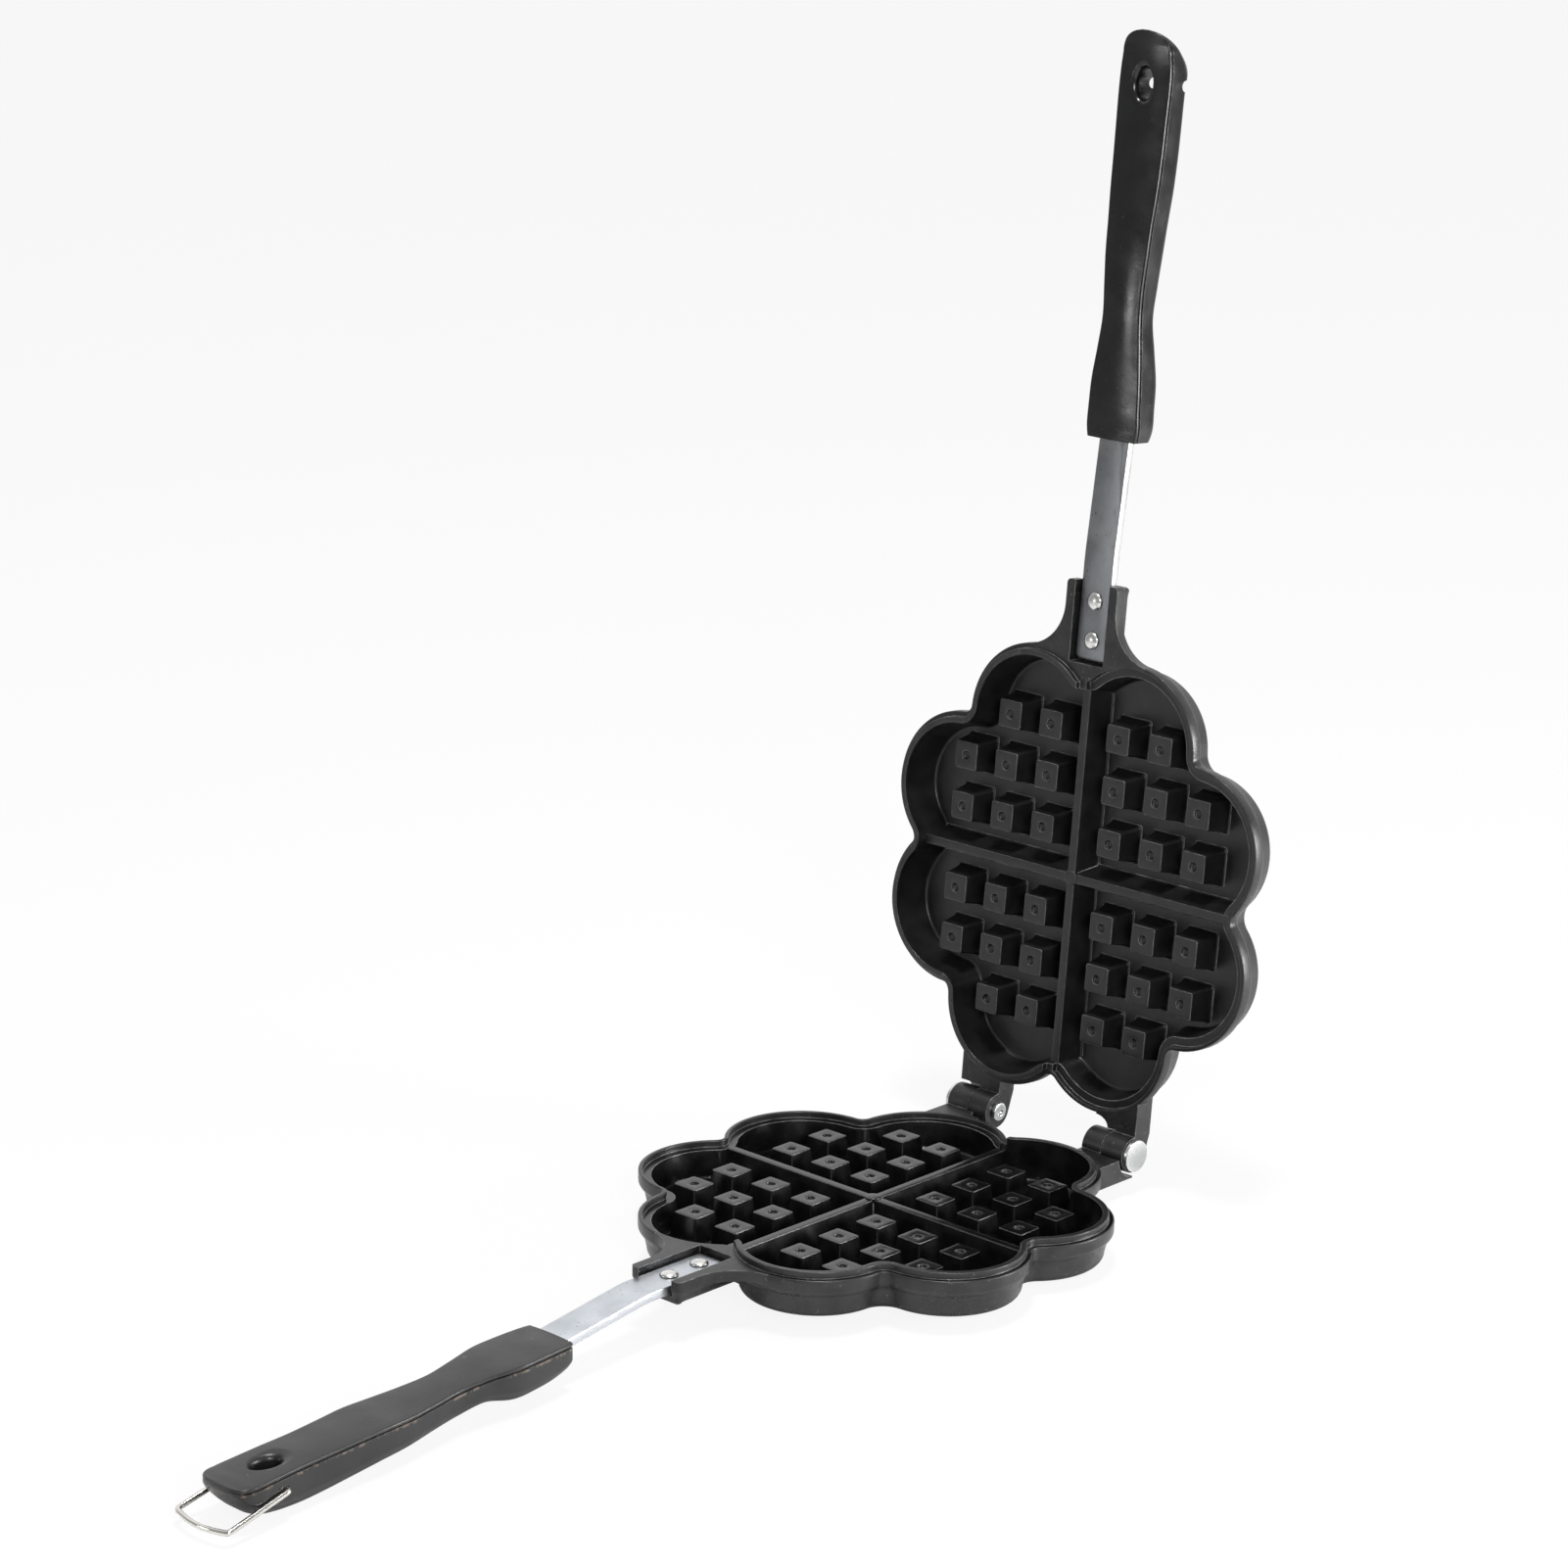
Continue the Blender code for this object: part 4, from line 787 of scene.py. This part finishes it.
def tip_share(spot, bluntness):
    """Share of the width left at a place on the rounded tip."""
    along = min(max((spot - TIP_START) / (1.0 - TIP_START), 0.0), 1.0)
    return max(1.0 - along ** bluntness, 0.0) ** (1.0 / bluntness)


def handle(name, rows, length, half_width, thickness, fall, crown, groove, bluntness):
    loops = []
    start_width = blend_shares(rows, TIP_START)[0]
    for spot in handle_places(rows):
        width_share, fall_share, depth_share = blend_shares(rows, spot)
        if spot > TIP_START:
            width_share = max(start_width * tip_share(spot, bluntness), TIP_END)
        drop = fall * fall_share
        outline = handle_section(half_width * width_share, thickness * depth_share, crown, groove)
        outline += [(-x, z) for x, z in reversed(outline[1:-1])]
        loops.append([(x, -length * spot, z - drop) for x, z in outline])
    return loft(name, loops)


def cut_strap_slot(grip, slope, start, face):
    half = STRAP_HALF_WIDTH + SLOT_CLEARANCE
    end = STRAP_END + STRAP_THICKNESS * math.sin(slope) + SLOT_CLEARANCE
    loops = []
    for distance in (start - OVERRUN, end):
        top = strap_height(slope, distance) + face + SLOT_CLEARANCE
        base = top - STRAP_THICKNESS / math.cos(slope) - 2 * SLOT_CLEARANCE
        y = start - distance
        loops.append([(-half, y, top), (half, y, top), (half, y, base), (-half, y, base)])
    combine(grip, loft("slot", loops), "DIFFERENCE")


def cut_hang_hole(grip, hole_y, start, rows, size):
    length, half_width, thickness, fall = size
    share = blend_shares(rows, (hole_y - start) / length)
    face = -fall * share[1]
    belly = face - thickness * share[2]
    ease = HOLE_CHAMFER
    rings = [(HOLE_RIM * 1.2 + OVERRUN, face + OVERRUN)]
    rings += [(HOLE_RIM * (1 - math.sin(a)) - HOLE_INNER, face - HOLE_RIM * (1 - math.cos(a)))
              for a in arc(6)]
    rings += [(ease * (1 - math.cos(a)) - HOLE_INNER, belly + ease * (1 - math.sin(a))) for a in arc(5)]
    rings.append((2 * ease + OVERRUN, belly - OVERRUN - ease))
    loops = [[(x * (HOLE_HALF_WIDTH + grow), y * (HOLE_HALF_LENGTH + grow), z) for x, y, _ in circle(1, 64, 0)]
             for grow, z in rings]
    cutter = loft("hang_hole", loops)
    cutter.location = (0, start - hole_y, 0)
    combine(grip, cutter, "DIFFERENCE")


def lower_handle():
    size = (LOWER_HANDLE_LENGTH, LOWER_HANDLE_HALF_WIDTH, LOWER_HANDLE_THICKNESS, LOWER_HANDLE_FALL)
    grip = handle("lower_grip", LOWER_HANDLE_SHARES, *size, LOWER_CROWN, LOWER_GROOVE, LOWER_BLUNTNESS)
    cut_strap_slot(grip, LOWER_STRAP_SLOPE, LOWER_HANDLE_START, LOWER_HANDLE_FACE)
    cut_hang_hole(grip, LOWER_HOLE_Y, LOWER_HANDLE_START, LOWER_HANDLE_SHARES, size)
    spot = (LOWER_HANDLE_START - BAIL_Y, LOWER_HANDLE_FACE - BAIL_DROP)
    inner = BAIL_TIP - BAIL_BORE_CLEARANCE
    outer = LOWER_HANDLE_HALF_WIDTH + OVERRUN
    for low, high in ((inner, outer), (-outer, -inner)):
        bore = rod("bore", BAIL_WIRE_RADIUS + BAIL_BORE_CLEARANCE, 24, low, high, spot)
        combine(grip, bore, "DIFFERENCE")
    note_depth(grip, LOWER_HANDLE_SHARES, size[0], size[3], LOWER_HANDLE_START - LOWER_HOLE_Y)
    return grip


def notch_cutter():
    """Slot across the grip's back for the bail, with a round floor and a flared mouth."""
    y = UPPER_HANDLE_START - NOTCH_Y
    z = UPPER_HANDLE_FACE - NOTCH_FLOOR - NOTCH_RADIUS
    mouth = -(UPPER_HANDLE_THICKNESS + UPPER_HANDLE_FALL + OVERRUN)
    wide = NOTCH_RADIUS + NOTCH_FLARE
    outer = UPPER_HANDLE_HALF_WIDTH + OVERRUN
    outline = [(y + NOTCH_RADIUS * math.cos(a), z + NOTCH_RADIUS * math.sin(a))
               for a in arc(20, 0, 2 * QUARTER)]
    outline += [(y - wide, mouth), (y + wide, mouth)]
    return loft("notch", [[(x, a, b) for a, b in outline] for x in (-outer, outer)])


def upper_handle():
    size = (UPPER_HANDLE_LENGTH, UPPER_HANDLE_HALF_WIDTH, UPPER_HANDLE_THICKNESS, UPPER_HANDLE_FALL)
    grip = handle("upper_grip", UPPER_HANDLE_SHARES, *size, UPPER_CROWN, UPPER_GROOVE, UPPER_BLUNTNESS)
    cut_strap_slot(grip, UPPER_STRAP_SLOPE, UPPER_HANDLE_START, UPPER_HANDLE_FACE)
    cut_hang_hole(grip, UPPER_HOLE_Y, UPPER_HANDLE_START, UPPER_HANDLE_SHARES, size)
    combine(grip, notch_cutter(), "DIFFERENCE")
    note_depth(grip, UPPER_HANDLE_SHARES, size[0], size[3], UPPER_HANDLE_START - UPPER_HOLE_Y)
    return grip


def bail():
    """Round wire swept along the bail's centre line, its pivot at the origin."""
    knee = Vector((BAIL_HALF_WIDTH, 0, 0))
    shoulder = Vector((BAIL_SPREAD, -BAIL_ARM_LENGTH, 0))
    along = (shoulder - knee).normalized()
    bar = [Vector((BAIL_SPREAD * (1 - 2 * i / 18), -BAIL_ARM_LENGTH - BAIL_BOW * math.sin(math.pi * i / 18), 0))
           for i in range(19)]
    across = (bar[1] - bar[0]).normalized()
    route = [Vector((BAIL_TIP, 0, 0))]
    for corner, start, end in ((knee, knee - Vector((BAIL_BEND, 0, 0)), knee + along * BAIL_BEND),
                               (shoulder, shoulder - along * BAIL_BEND, shoulder + across * BAIL_BEND)):
        for step in range(11):
            s = step / 10
            route.append(start * (1 - s) ** 2 + corner * 2 * s * (1 - s) + end * s ** 2)
    route = route + bar[2:-2] + [Vector((-p.x, p.y, p.z)) for p in reversed(route)]
    loops = []
    for index, point in enumerate(route):
        ahead = (route[min(index + 1, len(route) - 1)] - route[max(index - 1, 0)]).normalized()
        side = Vector((ahead.y, -ahead.x, 0))
        rise = Vector((0, 0, BAIL_WIRE_RADIUS))
        loops.append([point + side * BAIL_WIRE_RADIUS * math.cos(a) + rise * math.sin(a)
                      for a in [TURN * i / 20 for i in range(20)]])
    return loft("bail_wire_loop", loops)


# Material helpers
def math_node(tree, operation, a, b=None):
    node = tree.nodes.new("ShaderNodeMath")
    node.operation = operation
    for socket, value in zip(node.inputs, (a, b)):
        if isinstance(value, (int, float)):
            socket.default_value = value
        elif value is not None:
            tree.links.new(value, socket)
    return node.outputs[0]


class Look:
    """A Principled material and short calls for its nodes."""

    def __init__(self, name, colour, roughness, metallic=0.0, **sockets):
        self.material = bpy.data.materials.new(name)
        self.material.use_nodes = True
        self.nodes = self.material.node_tree.nodes
        self.links = self.material.node_tree.links
        self.shader = self.nodes["Principled BSDF"]
        self.shader.inputs["Base Color"].default_value = (*colour, 1)
        self.shader.inputs["Roughness"].default_value = roughness
        self.shader.inputs["Metallic"].default_value = metallic
        for key, value in sockets.items():
            self.shader.inputs[key.replace("_", " ")].default_value = value
        self.coords = self.nodes.new("ShaderNodeTexCoord").outputs["Object"]

    def stretched(self, x, y, z):
        mapping = self.nodes.new("ShaderNodeMapping")
        mapping.inputs["Scale"].default_value = (x, y, z)
        self.links.new(self.coords, mapping.inputs["Vector"])
        return mapping.outputs["Vector"]

    def noise(self, scale, detail=3.0, roughness=0.55, coords=None, distortion=0.0):
        node = self.nodes.new("ShaderNodeTexNoise")
        node.inputs["Scale"].default_value = scale
        node.inputs["Detail"].default_value = detail
        node.inputs["Roughness"].default_value = roughness
        node.inputs["Distortion"].default_value = distortion
        self.links.new(coords or self.coords, node.inputs["Vector"])
        return node.outputs["Fac"]

    def remap(self, value, low, high, out_low=0.0, out_high=1.0):
        node = self.nodes.new("ShaderNodeMapRange")
        for key, number in (("From Min", low), ("From Max", high), ("To Min", out_low), ("To Max", out_high)):
            node.inputs[key].default_value = number
        self.links.new(value, node.inputs["Value"])
        return node.outputs["Result"]

    def math(self, operation, a, b=None):
        return math_node(self.material.node_tree, operation, a, b)

    def mix(self, factor, a, b):
        node = self.nodes.new("ShaderNodeMix")
        node.data_type = "RGBA"
        self.links.new(factor, node.inputs[0])
        for socket, value in ((node.inputs[6], a), (node.inputs[7], b)):
            if isinstance(value, tuple):
                socket.default_value = (*value, 1)
            else:
                self.links.new(value, socket)
        return node.outputs[2]

    def edges(self, radius, low=0.99, high=0.88):
        """Rounded normal and a mask that is high at sharp edges."""
        bevel = self.nodes.new("ShaderNodeBevel")
        bevel.samples = 6
        bevel.inputs["Radius"].default_value = radius
        geometry = self.nodes.new("ShaderNodeNewGeometry")
        dot = self.nodes.new("ShaderNodeVectorMath")
        dot.operation = "DOT_PRODUCT"
        self.links.new(bevel.outputs[0], dot.inputs[0])
        self.links.new(geometry.outputs["Normal"], dot.inputs[1])
        return bevel.outputs[0], self.remap(dot.outputs["Value"], low, high)

    def bump(self, height, strength, distance, normal=None):
        node = self.nodes.new("ShaderNodeBump")
        node.inputs["Strength"].default_value = strength
        node.inputs["Distance"].default_value = distance
        self.links.new(height, node.inputs["Height"])
        if normal is not None:
            self.links.new(normal, node.inputs["Normal"])
        return node.outputs[0]

    def use(self, socket, value):
        self.links.new(value, self.shader.inputs[socket])


def cast_outside():
    """Sprayed satin coating: soft mottle, fine orange peel, a few light specks, and a painted highlight along its
    sharp edges.
    """
    look = Look("cast_coating_outside", (0.014, 0.014, 0.0145), 0.36, IOR=1.5)
    mottle = look.noise(120, 4)
    patch = look.noise(45, 3)
    grain = look.noise(1300, 3, 0.65)
    speck = look.noise(800, 2, 0.7)
    round_normal, edge = look.edges(0.0004)
    base = look.mix(look.remap(mottle, 0.35, 0.65), (0.008, 0.008, 0.0085), (0.021, 0.021, 0.0215))
    base = look.mix(look.remap(speck, 0.67, 0.73), base, (0.09, 0.088, 0.085))
    # painted highlight: sharp edges get a light colour, broken up by noise, in place of the backdrop's glint on
    # them
    edge_highlight = look.math("MULTIPLY", edge, look.remap(look.noise(350, 3), 0.38, 0.58, 0.15, 1.0))
    base = look.mix(edge_highlight, base, (0.26, 0.255, 0.25))
    look.use("Base Color", base)
    rough = look.math("ADD", look.remap(patch, 0.3, 0.7, 0.27, 0.42), look.remap(grain, 0.3, 0.7, -0.07, 0.07))
    look.use("Roughness", rough)
    relief = look.bump(speck, 0.22, 0.0001, look.bump(mottle, 0.12, 0.0004, round_normal))
    look.use("Normal", look.bump(grain, 0.40, 0.0001, relief))
    return look.material


def cast_inside(name, dark, light, roughness, edge_highlight_tone):
    """Well coating: near black, faint mottle, with a thin painted highlight along each sharp edge."""
    look = Look(name, (dark,) * 3, roughness, IOR=1.5)
    mottle = look.noise(160, 3)
    grain = look.noise(1500, 2, 0.6)
    round_normal, edge = look.edges(0.00042)
    base = look.mix(look.remap(mottle, 0.35, 0.65), (dark,) * 3, (light,) * 3)
    # painted highlight: a light tone on the sharp edges, broken up by noise, stands in for their glint; the same
    # mask lowers the roughness there
    edge_highlight = look.math("MULTIPLY", edge, look.remap(look.noise(500, 3), 0.36, 0.58, 0.35, 1.0))
    look.use("Base Color", look.mix(edge_highlight, base, (edge_highlight_tone,) * 3))
    rough = look.remap(mottle, 0.3, 0.7, roughness - 0.03, roughness + 0.05)
    look.use("Roughness", look.math("SUBTRACT", rough, look.math("MULTIPLY", edge_highlight, 0.08)))
    look.use("Normal", look.bump(grain, 0.16, 0.00006, round_normal))
    return look.material


def strap_metal(name, light, dark, roughness, upright, side_face_colour):
    """Strap steel: cloudy face with fine scratches along it, and side faces given a colour of their own, picked by
    which way they face.
    """
    look = Look(name, light, roughness, 1.0)
    cloud = look.noise(90, 4)
    lines = look.noise(260, 4, 0.6, look.stretched(9.0, 9.0 if upright else 0.5, 0.5 if upright else 9.0))
    scratch = look.noise(340, 2, 0.5, look.stretched(1.0, 1.0 if upright else 0.12, 0.12 if upright else 1.0), 1.4)
    base = look.mix(look.remap(cloud, 0.35, 0.65), dark, light)
    speck = look.remap(look.noise(900, 2, 0.6), 0.68, 0.74)
    base = look.mix(speck, base, tuple(0.35 * c for c in dark))
    facing = look.nodes.new("ShaderNodeSeparateXYZ")
    look.links.new(look.nodes.new("ShaderNodeNewGeometry").outputs["Normal"], facing.inputs[0])
    side = look.remap(look.math("ABSOLUTE", facing.outputs["X"]), 0.35, 0.75)
    look.use("Base Color", look.mix(side, base, side_face_colour))
    fine = look.remap(scratch, 0.60, 0.66, 0.0, 0.14)
    rough = look.remap(cloud, 0.3, 0.7, roughness - 0.06, roughness + 0.08)
    look.use("Roughness", look.math("ADD", rough, fine))
    look.use("Normal", look.bump(lines, 0.25, 0.00004, look.bump(scratch, 0.15, 0.00005)))
    return look.material


def bright_metal(name, colour, roughness, scale=500, contrast=0.28, relief=0.15):
    look = Look(name, colour, roughness, 1.0)
    cloud = look.noise(scale, 3)
    pits = look.noise(scale * 3, 2, 0.7)
    dark = tuple((1 - contrast) * c for c in colour)
    look.use("Base Color", look.mix(look.remap(cloud, 0.35, 0.7), colour, dark))
    look.use("Roughness", look.remap(cloud, 0.3, 0.7, roughness - 0.05, roughness + 0.08))
    look.use("Normal", look.bump(pits, relief, 0.00003, look.bump(cloud, relief, 0.00005)))
    return look.material


def moulded(name, light, dark, roughness, flash, upright, groove):
    """Black moulded grip: soft mottle, dust, scuffed edges and a broken flash mark on its parting line."""
    look = Look(name, light, roughness, IOR=1.5)
    cloud = look.noise(45, 4)
    ripple = look.noise(120, 3)
    grain = look.noise(1500, 3, 0.6)
    round_normal, edge = look.edges(0.00025)
    base = look.mix(look.remap(cloud, 0.35, 0.65), dark, light)
    dust = look.remap(look.noise(420, 2, 0.8), 0.72, 0.76)
    base = look.mix(look.math("MULTIPLY", dust, 0.45), base, (0.22, 0.21, 0.20))
    scuffs = look.math("MULTIPLY", edge, look.remap(look.noise(300, 4, 0.7), 0.50, 0.60))
    base = look.mix(look.math("MULTIPLY", scuffs, 0.3 + 0.6 * flash), base, (0.14, 0.12, 0.10))
    depth = look.nodes.new("ShaderNodeAttribute")
    depth.attribute_name = "face_depth"
    wander = look.remap(look.noise(160, 2), 0.3, 0.7, -0.0002, 0.0002)
    below = look.math("SUBTRACT", look.math("ADD", depth.outputs["Fac"], wander), groove + 1.7 * GROOVE_WIDTH)
    line = look.remap(look.math("ABSOLUTE", below), 0.00055, 0.00020)
    drawn_out = look.stretched(0.3, 0.3 if upright else 1.0, 1.0 if upright else 0.3)
    broken = look.remap(look.noise(240, 4, 0.7, drawn_out), 0.50, 0.56)
    marks = look.math("MULTIPLY", look.math("MULTIPLY", line, broken), flash)
    base = look.mix(marks, base, (0.13, 0.10, 0.08))
    look.use("Base Color", base)
    rough = look.remap(ripple, 0.3, 0.7, roughness - 0.05, roughness + 0.07)
    look.use("Roughness", look.math("ADD", rough, look.math("MULTIPLY", marks, 0.2)))
    relief = look.bump(marks, 0.6, 0.0002, round_normal)
    look.use("Normal", look.bump(grain, 0.25, 0.00007, look.bump(ripple, 0.30, 0.0003, relief)))
    return look.material


outside = cast_outside()
lower_inside = cast_inside("cast_coating_inside_lower", 0.0028, 0.0065, 0.19, 0.26)
# painted light: the lid's well has the same coating as the lower one, given a lighter base and a lighter edge tone
# to stand in for the light it catches
upper_inside_painted_lighter = cast_inside("cast_coating_inside_upper_painted_lighter", 0.0065, 0.0120, 0.34, 0.40)
zinc = strap_metal("zinc_plated_steel", (0.66, 0.69, 0.73), (0.55, 0.58, 0.62), 0.34, False,
                   (0.62, 0.64, 0.67))
steel = strap_metal("dull_strap_steel", (0.27, 0.275, 0.285), (0.20, 0.205, 0.215), 0.36, True,
                    (0.45, 0.45, 0.45))
rivet_look = bright_metal("rivet_metal", (0.82, 0.82, 0.80), 0.24)
pin_look = bright_metal("pin_metal", (0.80, 0.81, 0.81), 0.24, 180, 0.14, 0.08)
wire_look = bright_metal("bail_wire_metal", (0.74, 0.72, 0.68), 0.17, 150, 0.16, 0.02)
lower_grip_look = moulded("moulded_black_satin", (0.020, 0.020, 0.0205), (0.010, 0.010, 0.0105), 0.33, 1.0,
                          False, LOWER_GROOVE)
upper_grip_look = moulded("moulded_black_gloss", (0.0065, 0.0067, 0.0075), (0.0035, 0.0036, 0.0042), 0.20,
                          0.12, True, UPPER_GROOVE)


# Pieces
def copied(item, name):
    return link_mesh(name, item.data.copy())


plate = casting()
smooth(plate, outside, lower_inside)
paint_inside(plate)
plate.name = "lower_casting"
upper = copied(plate, "upper_casting")
upper.data.materials[1] = upper_inside_painted_lighter
place(plate, ROOT, "base", "nonstick_casting", "lower_plate")
place(upper, LID, "lid", "nonstick_casting", "upper_plate")
for name, item in (("posts", posts()), ("dividers", dividers()), ("boss", boss())):
    smooth(item, lower_inside, angle=math.radians(50))
    item.name = "lower_" + name
    upper = copied(item, "upper_" + name)
    upper.data.materials[0] = upper_inside_painted_lighter
    place(item, ROOT, "base", "nonstick_casting", "lower_plate")
    place(upper, LID, "lid", "nonstick_casting", "upper_plate")

item = strap("lower_strap_bar", LOWER_STRAP_SLOPE)
smooth(item, zinc)
place(item, ROOT, "base", "zinc_strap", "lower_strap")
item = strap("upper_strap_bar", UPPER_STRAP_SLOPE)
smooth(item, steel)
place(item, LID, "lid", "dark_steel_strap", "upper_strap")

head = rivet("rivet_shape")
smooth(head, rivet_look)
for label, distance in RIVET_SPOTS.items():
    spot = Matrix.Translation((0, -distance, -STRAP_DROP))
    place(copied(head, "lower_" + label + "_rivet_head"), ROOT @ spot, "base", "rivet_aluminium",
          "lower_rivet_" + label)
    place(copied(head, "upper_" + label + "_rivet_head"), LID @ spot, "lid", "rivet_aluminium",
          "upper_rivet_" + label)
bpy.data.objects.remove(head, do_unlink=True)

for label, side in (("right", 1), ("left", -1)):
    item = hinge_pin("pin_" + label, side)
    smooth(item, pin_look)
    place(item, ROOT @ Matrix.Translation((0, HINGE_Y, 0)), "base", "pin_steel", "hinge_pin_" + label)

item = lower_handle()
smooth(item, lower_grip_look)
place(item, ROOT @ Matrix.Translation((0, -LOWER_HANDLE_START, -LOWER_HANDLE_FACE)), "base", "bakelite",
      "lower_handle")
item = upper_handle()
smooth(item, upper_grip_look)
place(item, LID @ Matrix.Translation((0, -UPPER_HANDLE_START, -UPPER_HANDLE_FACE)), "lid", "bakelite",
      "upper_handle")
item = bail()
smooth(item, wire_look)
place(item, ROOT @ Matrix.Translation((0, -BAIL_Y, -BAIL_DROP)) @ Matrix.Rotation(-BAIL_REST, 4, "X"),
      "bail", "bail_wire", "latch_bail")


# Floor under the grip's belly and the plate's back edge, which both touch it
def floor_tilt():
    """Slope and height at y = 0 of the plane that the tool rests on."""
    grip = [v.co for v in frame["nodes"]["lower_handle"].data.vertices]
    back = [v.co for v in frame["nodes"]["lower_plate"].data.vertices if v.co.y > hinge_spot.y - 0.03]
    slope = 0.0
    for _ in range(6):
        heel = min(back, key=lambda co: co.z - slope * co.y)
        rest = min(grip, key=lambda co: co.z - slope * co.y)
        slope = (heel.z - rest.z) / (heel.y - rest.y)
    return slope, rest.z - slope * rest.y


slope, height = floor_tilt()
mesh = bpy.data.meshes.new("floor")
corners = [(x * FLOOR_REACH, y * FLOOR_REACH, 0) for x, y in ((-1, -1), (1, -1), (1, 1), (-1, 1))]
mesh.from_pydata(corners, [], [(0, 1, 2, 3)])
floor = link_mesh("floor", mesh)
floor.matrix_world = Matrix.Translation((0, 0, height - FLOOR_GAP)) @ Matrix.Rotation(math.atan(slope), 4, "X")
paper = bpy.data.materials.new("floor_paper")
paper.use_nodes = True
nodes, links = paper.node_tree.nodes, paper.node_tree.links
soft = nodes["Principled BSDF"]
soft.inputs["Base Color"].default_value = (0.93, 0.93, 0.93, 1)
soft.inputs["Roughness"].default_value = 0.9
soft.inputs["Specular IOR Level"].default_value = 0.1
glow = nodes.new("ShaderNodeEmission")
glow.inputs["Color"].default_value = (1, 1, 1, 1)
path = nodes.new("ShaderNodeLightPath")
share = math_node(paper.node_tree, "MULTIPLY", path.outputs["Is Camera Ray"], FLOOR_GLOW)
blend_node = nodes.new("ShaderNodeMixShader")
links.new(share, blend_node.inputs[0])
links.new(soft.outputs[0], blend_node.inputs[1])
links.new(glow.outputs[0], blend_node.inputs[2])
links.new(blend_node.outputs[0], nodes["Material Output"].inputs["Surface"])
floor.data.materials.append(paper)

# World: a studio that is white to the camera, with a bright backdrop beyond the tool and calmer elsewhere
world = bpy.data.worlds.new("studio")
bpy.context.scene.world = world
world.use_nodes = True
nodes, links = world.node_tree.nodes, world.node_tree.links
background = nodes["Background"]
background.inputs["Color"].default_value = (1, 1, 1, 1)

path = nodes.new("ShaderNodeLightPath")
direction = nodes.new("ShaderNodeVectorMath")
direction.operation = "DOT_PRODUCT"
direction.inputs[1].default_value = BACKDROP_FACING
links.new(nodes.new("ShaderNodeTexCoord").outputs["Generated"], direction.inputs[0])
ahead = nodes.new("ShaderNodeMapRange")
ahead.interpolation_type = "SMOOTHSTEP"
for key, value in (("From Min", 0.15), ("From Max", 0.75), ("To Min", FRONT_LEVEL), ("To Max", 1.0)):
    ahead.inputs[key].default_value = value
links.new(direction.outputs["Value"], ahead.inputs["Value"])
tree = world.node_tree
glossy = math_node(tree, "MULTIPLY", path.outputs["Is Glossy Ray"], 1.0 - DIFFUSE_LEVEL)
level = math_node(tree, "MULTIPLY", math_node(tree, "ADD", DIFFUSE_LEVEL, glossy), ahead.outputs["Result"])
level = math_node(tree, "MAXIMUM", level, path.outputs["Is Camera Ray"])
links.new(level, background.inputs["Strength"])


def lamp(name, spot, target, size, energy):
    light = bpy.data.lights.new(name, "AREA")
    light.shape = "DISK"
    light.size = size
    light.energy = energy
    item = bpy.data.objects.new(name, light)
    bpy.context.scene.collection.objects.link(item)
    item.location = spot
    item.rotation_euler = (Vector(target) - Vector(spot)).to_track_quat("-Z", "Y").to_euler()
    item.visible_camera = False
    return item


lamp("overhead", (0.10, -0.05, 1.35), (0, 0.03, 0.0), 0.26, 10)
lamp("back_right", (0.95, 0.73, 0.27), (0.05, 0.10, 0.14), 0.40, 12)
lamp("front_right", (1.25, -0.75, 0.75), (0, 0.12, 0.2), 0.45, 10)
lamp("front_left", (-0.40, -0.71, 0.225), (0, 0.11, 0.28), 0.13, 0.4)

# Camera at the photograph's angle
camera = bpy.data.cameras.new("camera")
camera.sensor_width = 36
camera.lens = CAMERA_LENS
camera.clip_start = 0.01
view = bpy.data.objects.new("camera", camera)
bpy.context.scene.collection.objects.link(view)
pose = ROOT @ Matrix.Translation(CAMERA_SPOT)
for degrees, axis in CAMERA_TURNS:
    pose = pose @ Matrix.Rotation(math.radians(degrees), 4, axis)
view.matrix_world = pose
bpy.context.scene.camera = view
bpy.context.scene.view_settings.view_transform = "Standard"
